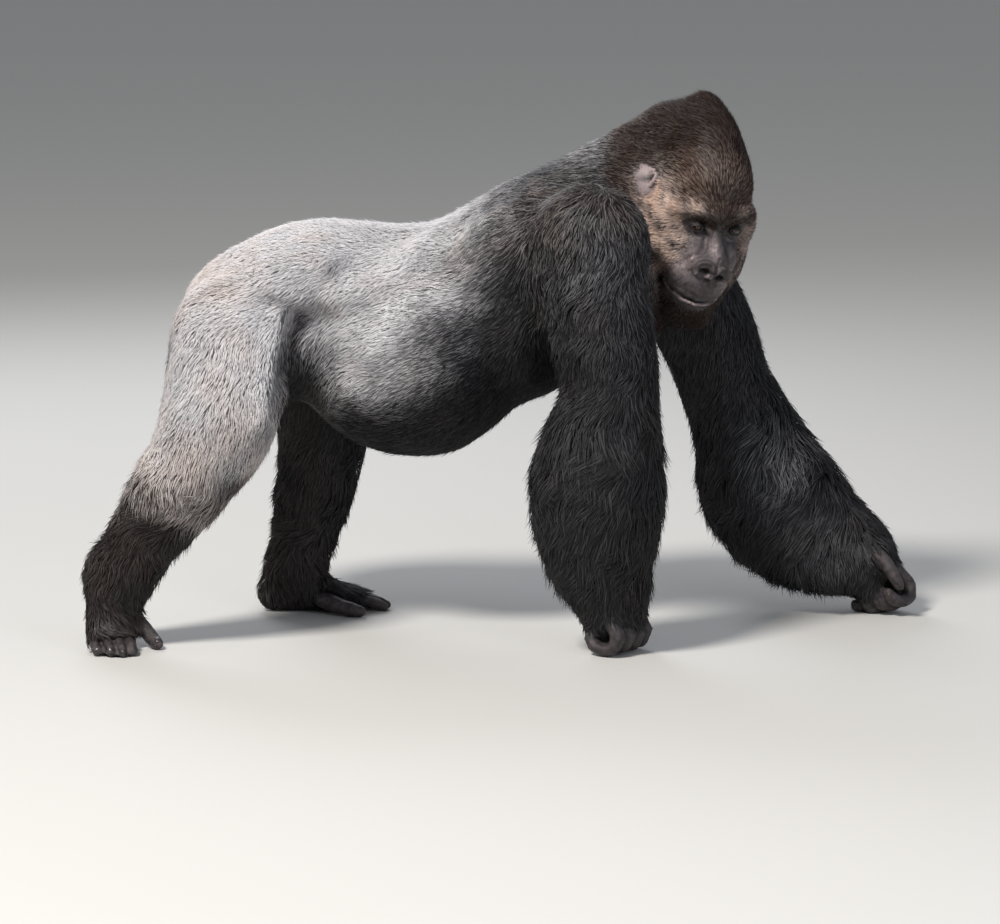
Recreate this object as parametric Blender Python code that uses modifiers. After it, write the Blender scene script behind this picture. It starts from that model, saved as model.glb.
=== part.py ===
"""A life-size male western lowland gorilla on all fours, left hand reaching forward and head turned right.

Units are metres, +Z is up and +X is the way the animal walks, so its right side is at -Y. The solids reach
out to the tips of the coat. The body is modelled whole, from lofted and rounded forms that a voxel remesh
melts together, and is then parted with thin cuts into the pieces that a person would name.
"""

import math

import bmesh
import bpy
import numpy as np
from mathutils import Euler, Matrix, Vector

# ---------------------------------------------------------------- driving dimensions

VOXEL = 0.0055          # grain of the melted body
BODY_ROUNDS = 34        # rounds of smoothing that blend one form of the body into the next
HEAD_ROUNDS = 5         # the same on the head
BODY_TRIANGLES = 2540   # triangles left on the body, apart from fingers, toes and eyes
GAP = 0.0006            # clear gap of a thin cut

HEAD_PLACE = Vector((0.407, -0.045, 0.877))   # midway between the ear holes
HEAD_YAW = math.radians(-76)                  # turned to its right, from straight ahead
HEAD_PITCH = math.radians(22)                 # chin down
HEAD_ROLL = math.radians(-8)                   # its left ear low
EYE_RADIUS = 0.0125
EYE_PLACE = Vector((0.1035, 0.0400, 0.0060))  # left eye's centre, in head axes

COAT_BLACK = (0.020, 0.019, 0.021, 1)
COAT_SILVER = (0.300, 0.285, 0.270, 1)
COAT_BROWN = (0.045, 0.028, 0.022, 1)
BARE_SKIN = (0.035, 0.033, 0.036, 1)
EYE_BROWN = (0.060, 0.018, 0.008, 1)

# ---------------------------------------------------------------- small helpers


def clear_scene():
    for old in list(bpy.data.objects):
        bpy.data.objects.remove(old)


def collection(name, shown=True):
    made = bpy.data.collections.new(name)
    made.hide_render = not shown
    bpy.context.scene.collection.children.link(made)
    return made


def material(name, colour, roughness):
    made = bpy.data.materials.new(name)
    made.use_nodes = True
    shader = made.node_tree.nodes["Principled BSDF"]
    shader.inputs["Base Color"].default_value = colour
    shader.inputs["Roughness"].default_value = roughness
    shader.inputs["Metallic"].default_value = 0.0
    made.diffuse_color = colour
    return made


def object_from(name, mesh, home=None):
    made = bpy.data.objects.new(name, mesh)
    (home or bpy.context.scene.collection).objects.link(made)
    return made


def mesh_from(name, points, faces):
    mesh = bpy.data.meshes.new(name)
    mesh.from_pydata([tuple(p) for p in points], [], faces)
    mesh.validate()
    return mesh


def evaluated_mesh(obj):
    """The object's mesh with its modifiers applied, in world space."""
    bpy.context.view_layer.update()
    graph = bpy.context.evaluated_depsgraph_get()
    mesh = bpy.data.meshes.new_from_object(obj.evaluated_get(graph))
    mesh.transform(obj.matrix_world)
    return mesh


def points_of(mesh):
    co = np.empty(len(mesh.vertices) * 3)
    mesh.vertices.foreach_get("co", co)
    return co.reshape(-1, 3)


def normals_of(mesh):
    no = np.empty(len(mesh.vertices) * 3)
    mesh.vertex_normals.foreach_get("vector", no)
    return no.reshape(-1, 3)


def set_points(mesh, points):
    mesh.vertices.foreach_set("co", points.ravel())
    mesh.update()


def smooth_line(stations, steps):
    """Stations of any width, read through as a Catmull-Rom curve with that many steps between each two."""
    rows = np.array(stations, float)
    rows = np.vstack([2 * rows[0] - rows[1], rows, 2 * rows[-1] - rows[-2]])
    line = []
    for i in range(1, len(rows) - 2):
        for k in range(steps):
            t = k / steps
            a, b, c, d = rows[i - 1 : i + 3]
            line.append(0.5 * (2 * b + (c - a) * t + (2 * a - 5 * b + 4 * c - d) * t**2
                               + (3 * b - a - 3 * c + d) * t**3))
    line.append(rows[-2])
    return np.array(line)


# ---------------------------------------------------------------- forms


def ellipsoid(centre, radii, turn=(0, 0, 0), around=24, along=14):
    """A ball stretched to three radii and turned by three angles in degrees."""
    work = bmesh.new()
    bmesh.ops.create_uvsphere(work, u_segments=around, v_segments=along, radius=1)
    pose = Matrix.LocRotScale(Vector(centre), Euler([math.radians(a) for a in turn]), Vector(radii))
    bmesh.ops.transform(work, matrix=pose, verts=work.verts)
    mesh = bpy.data.meshes.new("ellipsoid")
    work.to_mesh(mesh)
    work.free()
    return mesh


def loft(stations, up=(0, 0, 1), ring=20, steps=4, grow=0.0):
    """A closed tube through stations of (x, y, z, radius across, radius along up), with round ends."""
    line = smooth_line(stations, steps)
    centres, across, along = line[:, :3], line[:, 3] + grow, line[:, 4] + grow
    tangent = np.gradient(centres, axis=0)
    tangent /= np.linalg.norm(tangent, axis=1)[:, None]
    side = np.cross(np.array(up, float), tangent)
    side /= np.linalg.norm(side, axis=1)[:, None]
    top = np.cross(tangent, side)
    turn = np.linspace(0, 2 * math.pi, ring, endpoint=False)
    rings = []

    def add_ring(i, shrink, out):
        centre = centres[i] + tangent[i] * out
        rings.append(centre + shrink * (across[i] * np.outer(np.cos(turn), side[i])
                                        + along[i] * np.outer(np.sin(turn), top[i])))

    dome = [math.radians(a) for a in ((80, 55, 28) if ring > 8 else (66, 30))]
    last = len(line) - 1
    for a in dome:
        add_ring(0, math.cos(a), -min(across[0], along[0]) * math.sin(a))
    for i in range(last + 1):
        add_ring(i, 1.0, 0.0)
    for a in reversed(dome):
        add_ring(last, math.cos(a), min(across[last], along[last]) * math.sin(a))
    points = np.vstack(rings)
    faces = []
    for k in range(len(rings) - 1):
        for j in range(ring):
            n = (j + 1) % ring
            faces.append((k * ring + j, k * ring + n, (k + 1) * ring + n, (k + 1) * ring + j))
    faces.append(tuple(range(ring))[::-1])
    faces.append(tuple(range(len(points) - ring, len(points))))
    return mesh_from("loft", points, faces)


def mirrored(mesh):
    """A copy on the other side of the XZ plane."""
    copy = mesh.copy()
    copy.transform(Matrix.Diagonal((1, -1, 1, 1)))
    copy.flip_normals()
    return copy


def joined(name, meshes, home=None):
    work = bmesh.new()
    for mesh in meshes:
        work.from_mesh(mesh)
        bpy.data.meshes.remove(mesh)
    made = bpy.data.meshes.new(name)
    work.to_mesh(made)
    work.free()
    return object_from(name, made, home)


def melted(obj, voxel):
    """The object's overlapping forms as one skin."""
    remesh = obj.modifiers.new("melt", "REMESH")
    remesh.mode = "VOXEL"
    remesh.voxel_size = voxel
    mesh = evaluated_mesh(obj)
    bpy.data.objects.remove(obj)
    return mesh


# ---------------------------------------------------------------- sculpting strokes


def falloff(distance, radius):
    return np.clip(1 - (distance / radius) ** 2, 0, None) ** 2


def distance_to_line(points, line):
    """Distance from each point to a polyline."""
    nearest = np.full(len(points), np.inf)
    for a, b in zip(line[:-1], line[1:]):
        run = b - a
        t = np.clip((points - a) @ run / (run @ run), 0, 1)
        nearest = np.minimum(nearest, np.linalg.norm(points - a - t[:, None] * run, axis=1))
    return nearest


def pull(points, centre, radius, move, squash=(1, 1, 1)):
    """Moves the points near a centre, the more the nearer, as a sculptor's grab brush does."""
    away = np.linalg.norm((points - np.array(centre)) / np.array(squash), axis=1)
    points += falloff(away, radius)[:, None] * np.array(move)


def groove(points, normals, line, width, depth):
    """Presses a line into the surface; a negative depth raises a ridge."""
    path = smooth_line(line, 6)
    points -= (falloff(distance_to_line(points, path), width) * depth)[:, None] * normals


# ---------------------------------------------------------------- head, in its own axes: +X forward


def head_pose():
    turn = Matrix.Rotation(HEAD_YAW, 4, "Z") @ Matrix.Rotation(HEAD_PITCH, 4, "Y")
    return Matrix.Translation(HEAD_PLACE) @ turn @ Matrix.Rotation(HEAD_ROLL, 4, "X")


def head_forms():
    """Braincase with its crest, brow, muzzle, jaw and ears."""
    facing = (1, 0, 0)
    middle = [
        loft([(-0.010, 0, -0.110, 0.084, 0.090), (-0.015, 0, -0.050, 0.096, 0.106),
              (-0.022, 0, 0.010, 0.102, 0.116), (-0.032, 0, 0.060, 0.098, 0.120),
              (-0.056, -0.002, 0.105, 0.076, 0.110), (-0.088, -0.005, 0.142, 0.056, 0.086),
              (-0.110, -0.009, 0.162, 0.043, 0.060)], up=facing, ring=28),              # braincase and crest
        ellipsoid((-0.075, 0, 0.020), (0.095, 0.090, 0.105)),                      # back of the head
        loft([(0.104, 0, 0.046, 0.017, 0.016), (0.116, 0, 0.014, 0.013, 0.014),
              (0.130, 0, -0.018, 0.016, 0.015), (0.146, 0, -0.046, 0.024, 0.016)], up=facing),  # bridge
        ellipsoid((0.072, 0, -0.020), (0.042, 0.078, 0.060)),                      # upper face
        ellipsoid((0.094, 0, -0.116), (0.073, 0.067, 0.064), (0, 16, 0)),          # muzzle
        ellipsoid((0.118, 0, -0.112), (0.047, 0.058, 0.032), (0, 14, 0)),          # upper lip
        ellipsoid((0.148, 0, -0.060), (0.024, 0.024, 0.020)),                      # nose tip
        ellipsoid((0.106, 0, -0.152), (0.053, 0.055, 0.030), (0, 16, 0)),          # lower lip
        ellipsoid((0.076, 0, -0.186), (0.064, 0.066, 0.052), (0, 16, 0)),          # chin and its beard
        ellipsoid((0.020, 0, -0.140), (0.085, 0.078, 0.070)),                      # throat
        loft([(0.068, -0.074, 0.024, 0.018, 0.019), (0.092, -0.058, 0.034, 0.020, 0.020),
              (0.105, -0.030, 0.037, 0.021, 0.020), (0.107, 0, 0.035, 0.020, 0.019),
              (0.105, 0.030, 0.037, 0.021, 0.020), (0.092, 0.058, 0.034, 0.020, 0.020),
              (0.068, 0.074, 0.024, 0.018, 0.019)]),                               # brow ridge
        ellipsoid((0.046, 0, 0.072), (0.062, 0.080, 0.066), (0, 20, 0)),           # forehead above it
    ]
    left = [
        ellipsoid((0.036, 0.072, -0.018), (0.060, 0.040, 0.060), (0, 20, -14)),    # cheekbone and its hair
        ellipsoid((0.100, 0.040, -0.050), (0.036, 0.028, 0.036)),                  # side of the nose
        ellipsoid((0.070, 0.056, -0.070), (0.050, 0.040, 0.052), (0, 20, 0)),      # cheek
        ellipsoid((0.010, 0.066, -0.095), (0.076, 0.048, 0.098), (0, 20, 0)),      # jowl
        ellipsoid((0.143, 0.026, -0.065), (0.022, 0.021, 0.021)),                  # nostril wing
        loft([(-0.015, 0.066, -0.110, 0.036, 0.056), (0.040, 0.058, -0.150, 0.036, 0.048),
              (0.082, 0.030, -0.180, 0.034, 0.038)]),                              # jaw bar
        ellipsoid((-0.022, 0.103, 0.040), (0.027, 0.014, 0.032), (0, -14, 18)),    # ear
    ]
    forms = middle + left + [mirrored(mesh) for mesh in left]
    for mesh in forms:
        mesh.transform(head_pose())
    return forms


def sculpt_head(mesh):
    """Eye sockets, nostrils, the mouth and the hollow of each ear, pressed into the melted head."""
    pose = np.array(head_pose())
    world = points_of(mesh)
    local = (world - pose[:3, 3]) @ pose[:3, :3]
    normals = normals_of(mesh) @ pose[:3, :3]
    near = np.linalg.norm(local - [0.03, 0, -0.02], axis=1) < 0.27
    p, n = local[near], normals[near]
    for s in (-1, 1):
        front = p[:, 0] > 0.04
        q = p[front]
        pull(q, (0.112, s * 0.041, 0.004), 0.030, (-0.020, 0, 0), (1.5, 1.05, 0.80))    # eye socket
        pull(q, (0.162, s * 0.0180, -0.071), 0.0125, (-0.015, s * 0.001, 0.002))         # nostril
        pull(q, (0.148, s * 0.054, -0.060), 0.022, (-0.006, 0, 0))                       # beside the wing
        p[front] = q
        pull(p, (-0.012, s * 0.122, 0.040), 0.019, (0, -s * 0.008, 0), (0.9, 1, 1.25))   # hollow of the ear
    groove(p, n, [(0.100, -0.064, -0.120), (0.128, -0.050, -0.130), (0.154, -0.026, -0.1345),
                  (0.163, 0, -0.1350), (0.154, 0.026, -0.1345), (0.128, 0.050, -0.130),
                  (0.100, 0.064, -0.120)], 0.008, 0.005)                                 # mouth
    local[near] = p
    set_points(mesh, local @ pose[:3, :3].T + pose[:3, 3])


# ---------------------------------------------------------------- trunk and neck


def trunk_forms():
    return [
        loft([(-0.545, 0, 0.662, 0.145, 0.108), (-0.480, 0, 0.702, 0.168, 0.110),
              (-0.385, 0, 0.738, 0.178, 0.110), (-0.280, 0, 0.738, 0.158, 0.107),
              (-0.163, 0, 0.728, 0.142, 0.107), (-0.100, 0, 0.737, 0.155, 0.108),
              (-0.020, 0, 0.770, 0.185, 0.120), (0.060, 0, 0.800, 0.205, 0.134),
              (0.130, 0, 0.822, 0.195, 0.140), (0.200, 0, 0.850, 0.155, 0.145),
              (0.265, 0.008, 0.890, 0.098, 0.148)]),                         # back, rump to nape
        ellipsoid((-0.175, 0, 0.600), (0.255, 0.262, 0.240), (0, -6, 0)),     # belly
        ellipsoid((-0.150, 0, 0.520), (0.170, 0.200, 0.162), (0, -8, 0)),     # its lowest part
        ellipsoid((0.030, 0, 0.665), (0.250, 0.225, 0.190), (0, -28, 0)),     # ribs
        ellipsoid((0.190, 0, 0.700), (0.160, 0.190, 0.170), (0, -30, 0)),     # breast
        ellipsoid((-0.430, 0, 0.640), (0.190, 0.185, 0.165), (0, 8, 0)),      # hips
        loft([(0.200, 0, 0.815, 0.140, 0.160), (0.265, 0.008, 0.875, 0.098, 0.158),
              (0.345, 0.026, 0.945, 0.072, 0.138)]),                         # neck
        ellipsoid((0.345, 0.030, 1.020), (0.072, 0.085, 0.068)),              # hair of the nape
        loft([(0.230, 0.000, 0.740, 0.130, 0.120), (0.310, -0.010, 0.785, 0.100, 0.115),
              (0.375, -0.030, 0.815, 0.080, 0.095)]),                        # throat
    ]


def girdle_forms():
    """Shoulders and hips, where the limbs leave the trunk. Right side first."""
    return [
        ellipsoid((0.055, -0.140, 0.785), (0.190, 0.095, 0.125), (0, -20, 16)),   # right shoulder blade
        ellipsoid((0.183, -0.225, 0.815), (0.120, 0.112, 0.135), (0, -8, 0)),     # right shoulder
        ellipsoid((0.085, 0.140, 0.780), (0.190, 0.095, 0.120), (0, -20, -16)),   # left shoulder blade
        ellipsoid((0.280, 0.215, 0.770), (0.125, 0.110, 0.135), (0, 10, 0)),      # left shoulder
        ellipsoid((-0.530, -0.100, 0.590), (0.140, 0.130, 0.160), (0, 24, 0)),    # right buttock
        ellipsoid((-0.490, 0.100, 0.600), (0.150, 0.130, 0.150), (0, 14, 0)),     # left buttock
        ellipsoid((-0.385, -0.138, 0.728), (0.135, 0.062, 0.082), (0, 0, 8)),     # right hip bone
        ellipsoid((-0.385, 0.138, 0.728), (0.135, 0.062, 0.082), (0, 0, -8)),     # left hip bone
    ]


def sculpt_body(mesh):
    """The hollow of each flank, between the loin and the belly, and the fold at the top of each thigh."""
    p, n = points_of(mesh), normals_of(mesh)
    for s in (-1, 1):
        groove(p, n, [(-0.080, s * 0.190, 0.815), (-0.190, s * 0.225, 0.745), (-0.290, s * 0.230, 0.665),
                      (-0.350, s * 0.215, 0.560)], 0.075, 0.022)
        groove(p, n, [(0.060, s * 0.260, 0.760), (0.075, s * 0.250, 0.640), (0.095, s * 0.220, 0.540)],
               0.045, 0.012)
    set_points(mesh, p)


# ---------------------------------------------------------------- limbs

# Stations of a limb: x, y, z of its middle, then its radius across the body and its radius along it.
ARM_RIGHT = [(0.170, -0.215, 0.830, 0.100, 0.115), (0.188, -0.265, 0.720, 0.100, 0.110),
             (0.206, -0.285, 0.610, 0.096, 0.110), (0.222, -0.290, 0.530, 0.090, 0.100),
             (0.205, -0.290, 0.450, 0.102, 0.124), (0.195, -0.288, 0.360, 0.108, 0.140),
             (0.195, -0.282, 0.270, 0.104, 0.136), (0.202, -0.275, 0.195, 0.090, 0.116),
             (0.216, -0.268, 0.135, 0.072, 0.094), (0.224, -0.262, 0.100, 0.062, 0.078)]
ARM_LEFT = [(0.290, 0.205, 0.770, 0.100, 0.115), (0.378, 0.236, 0.680, 0.100, 0.112),
            (0.433, 0.258, 0.585, 0.100, 0.107), (0.470, 0.272, 0.480, 0.096, 0.101),
            (0.512, 0.268, 0.385, 0.100, 0.116), (0.565, 0.242, 0.254, 0.106, 0.152),
            (0.634, 0.215, 0.182, 0.098, 0.146), (0.704, 0.190, 0.140, 0.084, 0.122),
            (0.765, 0.172, 0.116, 0.070, 0.090)]
LEG_RIGHT = [(-0.530, -0.125, 0.640, 0.115, 0.135), (-0.545, -0.185, 0.540, 0.110, 0.130),
             (-0.568, -0.215, 0.450, 0.104, 0.122), (-0.612, -0.222, 0.370, 0.092, 0.106),
             (-0.664, -0.220, 0.300, 0.084, 0.096), (-0.715, -0.212, 0.225, 0.070, 0.080),
             (-0.748, -0.204, 0.160, 0.056, 0.074), (-0.768, -0.204, 0.115, 0.050, 0.066)]
LEG_LEFT = [(-0.480, 0.120, 0.640, 0.120, 0.140), (-0.420, 0.180, 0.540, 0.115, 0.130),
            (-0.375, 0.215, 0.430, 0.100, 0.112), (-0.372, 0.215, 0.340, 0.086, 0.096),
            (-0.390, 0.208, 0.250, 0.078, 0.090), (-0.410, 0.200, 0.160, 0.062, 0.076),
            (-0.425, 0.195, 0.085, 0.050, 0.060)]


def limb_forms():
    across_limb = (1, 0, 0)
    limbs = (ARM_RIGHT, ARM_LEFT, LEG_RIGHT, LEG_LEFT)
    return [loft(stations, up=across_limb, ring=24) for stations in limbs]


# ---------------------------------------------------------------- hands and feet

# Each is laid out for a left limb, +X forward and +Z up, then mirrored for a right one.
FINGER_SPACING = 0.0285
FINGER_RADIUS = 0.0138
HAND_SCALE = 1.18
FOOT_SCALE = 1.08
HEEL_LIFT = math.radians(44)


def pose_of(place, turn, scale):
    return Matrix.LocRotScale(Vector(place), Euler([math.radians(a) for a in turn]), Vector((scale,) * 3))


HAND_LEFT_POSE = pose_of((0.806, 0.150, -0.003), (-22, 0, 46), HAND_SCALE)
HAND_RIGHT_POSE = pose_of((0.226, -0.250, -0.003), (0, 0, -34), HAND_SCALE)
FOOT_LEFT_POSE = pose_of((-0.428, 0.195, -0.005), (0, 0, 4), FOOT_SCALE)
FOOT_RIGHT_POSE = pose_of((-0.812, -0.128, -0.005), (0, 0, -74), FOOT_SCALE)


def finger(row, grow=0.0):
    """A finger bent under, with the back of its middle joint on the floor; row 0 is the index."""
    y = (1.5 - row) * -FINGER_SPACING
    short = (0.94, 1.0, 0.97, 0.86)[row]
    r = FINGER_RADIUS
    path = [(-0.004, y, 0.088, r, r), (0.024 * short, y, 0.066, r, r), (0.044 * short, y, 0.039, r, r),
            (0.033 * short, y, 0.0175, r, r), (0.010 * short, y, 0.0140, 0.97 * r, r),
            (-0.014 * short, y, 0.0185, 0.92 * r, 0.95 * r), (-0.024 * short, y, 0.035, 0.80 * r, 0.80 * r)]
    return loft(path, up=(0, 1, 0), ring=6, steps=1, grow=grow)


def thumb(grow=0.0):
    path = [(-0.032, -0.050, 0.108, 0.0145, 0.0145), (-0.036, -0.068, 0.084, 0.0145, 0.0145),
            (-0.034, -0.074, 0.060, 0.0135, 0.0135), (-0.026, -0.074, 0.038, 0.0115, 0.0115)]
    return loft(path, up=(1, 0, 0), ring=6, steps=1, grow=grow)


def palm():
    return [loft([(-0.020, 0, 0.150, 0.048, 0.044), (-0.014, 0, 0.120, 0.058, 0.042),
                  (-0.004, 0, 0.094, 0.061, 0.032)], up=(1, 0, 0)),
            ellipsoid((-0.010, 0, 0.082), (0.032, 0.056, 0.028)),
            ellipsoid((-0.028, -0.036, 0.108), (0.026, 0.026, 0.036))]


def toe(row, grow=0.0):
    """Row 0 is the second toe, beside the big one."""
    y = -0.030 + 0.0225 * row
    reach = (0.176, 0.182, 0.172, 0.156)[row]
    r = 0.0108
    path = [(0.112 - 0.008 * row, y, 0.030, r, 1.15 * r), (0.136 - 0.008 * row, y, 0.027, r, 1.15 * r),
            (reach - 0.018, y, 0.021, r, 1.1 * r), (reach - 0.004, y, 0.0125, 0.86 * r, 0.9 * r)]
    return loft(path, ring=6, steps=1, grow=grow)


def big_toe(grow=0.0):
    path = [(0.046, -0.044, 0.034, 0.0175, 0.0190), (0.074, -0.066, 0.026, 0.0165, 0.0185),
            (0.100, -0.080, 0.020, 0.0160, 0.0175), (0.122, -0.085, 0.0155, 0.0140, 0.0135)]
    return loft(path, ring=6, steps=1, grow=grow)


def foot():
    """Heel, instep and ball, without the toes."""
    return [loft([(-0.052, 0, 0.040, 0.036, 0.042), (-0.010, 0, 0.046, 0.038, 0.048),
                  (0.040, -0.002, 0.038, 0.046, 0.040), (0.085, 0.001, 0.031, 0.053, 0.031),
                  (0.112, 0.003, 0.029, 0.050, 0.026)]),
            loft([(-0.020, 0, 0.110, 0.048, 0.050), (-0.006, 0, 0.075, 0.044, 0.052),
                  (0.020, 0, 0.052, 0.040, 0.046)], up=(1, 0, 0))]


def lift_heel(mesh):
    """Bends a foot at the ball, so that its heel leaves the floor and its toes stay on it."""
    p = points_of(mesh)
    hinge = np.array([0.098, 0.0, 0.018])
    share = np.clip((hinge[0] + 0.018 - p[:, 0]) / 0.036, 0, 1)
    turn = HEEL_LIFT * share
    x, z = p[:, 0] - hinge[0], p[:, 2] - hinge[2]
    p[:, 0] = hinge[0] + x * np.cos(turn) + z * np.sin(turn)
    p[:, 2] = hinge[2] - x * np.sin(turn) + z * np.cos(turn)
    set_points(mesh, p)
    return mesh


def hand_pieces(side, grow=0.0):
    """Digits by name, in place."""
    pose = HAND_LEFT_POSE if side == "left" else HAND_RIGHT_POSE
    made = {"thumb": thumb(grow)}
    for row, name in enumerate(("index_finger", "middle_finger", "ring_finger", "little_finger")):
        made[name] = finger(row, grow)
    return {f"{name}_{side}": placed(mesh, side, pose) for name, mesh in made.items()}


def foot_pieces(side, grow=0.0):
    pose = FOOT_LEFT_POSE if side == "left" else FOOT_RIGHT_POSE
    made = {"big_toe": big_toe(grow)}
    for row, name in enumerate(("second_toe", "middle_toe", "fourth_toe", "little_toe")):
        made[name] = toe(row, grow)
    if side == "right":
        made = {name: lift_heel(mesh) for name, mesh in made.items()}
    return {f"{name}_{side}": placed(mesh, side, pose) for name, mesh in made.items()}


def placed(mesh, side, pose):
    if side == "right":
        mesh = mirrored(mesh)
    mesh.transform(pose)
    return mesh


def extremity_forms():
    forms = [placed(mesh, "left", HAND_LEFT_POSE) for mesh in palm()]
    forms += [placed(mesh, "right", HAND_RIGHT_POSE) for mesh in palm()]
    forms += [placed(mesh, "left", FOOT_LEFT_POSE) for mesh in foot()]
    forms += [placed(lift_heel(mesh), "right", FOOT_RIGHT_POSE) for mesh in foot()]
    return forms


# ---------------------------------------------------------------- the whole body


def softened(mesh):
    """Blends one form into the next, less on the head than on the rest."""
    p = points_of(mesh)
    ends = np.empty(len(mesh.edges) * 2, np.int64)
    mesh.edges.foreach_get("vertices", ends)
    a, b = ends.reshape(-1, 2).T
    count = np.bincount(a, minlength=len(p)) + np.bincount(b, minlength=len(p))
    pose = np.array(head_pose())
    local = (p - pose[:3, 3]) @ pose[:3, :3]
    on_head = np.clip((0.25 - np.linalg.norm(local - [0.05, 0, -0.01], axis=1)) / 0.06, 0, 1)
    at_end = np.clip((0.13 - p[:, 2]) / 0.05, 0, 1)
    rounds = BODY_ROUNDS + (HEAD_ROUNDS - BODY_ROUNDS) * np.maximum(on_head, at_end)
    for k in range(BODY_ROUNDS):
        mean = np.empty_like(p)
        for c in range(3):
            mean[:, c] = (np.bincount(a, p[b, c], len(p)) + np.bincount(b, p[a, c], len(p))) / count
        p += (0.6 * np.clip(rounds - k, 0, 1))[:, None] * (mean - p)
    set_points(mesh, p)


def body_form():
    forms = trunk_forms() + girdle_forms() + limb_forms() + extremity_forms() + head_forms()
    mesh = melted(joined("body_form", forms), VOXEL)
    softened(mesh)
    sculpt_body(mesh)
    sculpt_head(mesh)
    return mesh


# ---------------------------------------------------------------- parting


def thinned(mesh, triangles):
    """Fewer triangles, most of them kept on the head."""
    obj = object_from("thinned", mesh)
    pose = np.array(head_pose())
    p = points_of(mesh)
    local = (p - pose[:3, 3]) @ pose[:3, :3]
    face = np.clip((0.21 - np.linalg.norm(local - [0.09, 0, -0.04], axis=1)) / 0.05, 0, 1)
    group = obj.vertex_groups.new(name="plain")
    for level in range(11):
        chosen = np.flatnonzero(np.round(10 * (1 - face)) == level)
        group.add(chosen.tolist(), 0.1 + 0.09 * level, "REPLACE")
    thin = obj.modifiers.new("thin", "DECIMATE")
    thin.ratio = triangles / (2 * len(mesh.polygons))
    thin.vertex_group = "plain"
    thin.vertex_group_factor = 0.2
    made = evaluated_mesh(obj)
    bpy.data.objects.remove(obj)
    return made


def boolean(mesh, other, operation):
    """The first mesh cut by, or kept inside, the other."""
    obj, tool = object_from("cut", mesh), object_from("tool", other)
    cut = obj.modifiers.new("cut", "BOOLEAN")
    cut.operation = operation
    cut.solver = "EXACT"
    cut.object = tool
    made = evaluated_mesh(obj)
    bpy.data.objects.remove(obj)
    bpy.data.objects.remove(tool)
    return made


def box(centre, size, turn=(0, 0, 0), grow=0.0):
    work = bmesh.new()
    bmesh.ops.create_cube(work, size=1)
    pose = Matrix.LocRotScale(Vector(centre), Euler([math.radians(a) for a in turn]),
                              Vector([edge + 2 * grow for edge in size]))
    bmesh.ops.transform(work, matrix=pose, verts=work.verts)
    mesh = bpy.data.meshes.new("box")
    work.to_mesh(mesh)
    work.free()
    return mesh


def beyond(point, along, reach=0.5, width=0.6, grow=0.0):
    """A box that begins at a point and reaches out along a direction."""
    away = Vector(along).normalized()
    turn = away.to_track_quat("X", "Z").to_euler()
    centre = Vector(point) + away * reach / 2
    return box(centre, (reach, width, width), [math.degrees(a) for a in turn], grow)


def united(meshes):
    whole = meshes[0]
    for mesh in meshes[1:]:
        whole = boolean(whole, mesh, "UNION")
    return whole


def in_head(mesh):
    mesh.transform(head_pose())
    return mesh


def eye(side, grow=0.0):
    s = 1 if side == "left" else -1
    radius = EYE_RADIUS + grow
    work = bmesh.new()
    bmesh.ops.create_uvsphere(work, u_segments=12, v_segments=7, radius=radius)
    bmesh.ops.rotate(work, matrix=Matrix.Rotation(math.radians(90), 3, "Y"), verts=work.verts)
    bmesh.ops.translate(work, vec=(EYE_PLACE.x, s * EYE_PLACE.y, EYE_PLACE.z), verts=work.verts)
    mesh = bpy.data.meshes.new("eye")
    work.to_mesh(mesh)
    work.free()
    return in_head(mesh)


def around_ear(side, grow):
    """The room of one ear: +1 for the left, -1 for the right."""
    return in_head(ellipsoid((-0.019, side * 0.121, 0.040), (0.037 + grow, 0.020 + grow, 0.042 + grow),
                             (0, -14, 0), around=12, along=8))


def part_off(pieces, source, name, make):
    """Moves what lies inside a box from one piece to a new one, with a clear gap between the two."""
    pieces[name] = boolean(pieces[source].copy(), make(0.0), "INTERSECT")
    pieces[source] = boolean(pieces[source], make(GAP), "DIFFERENCE")


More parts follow.
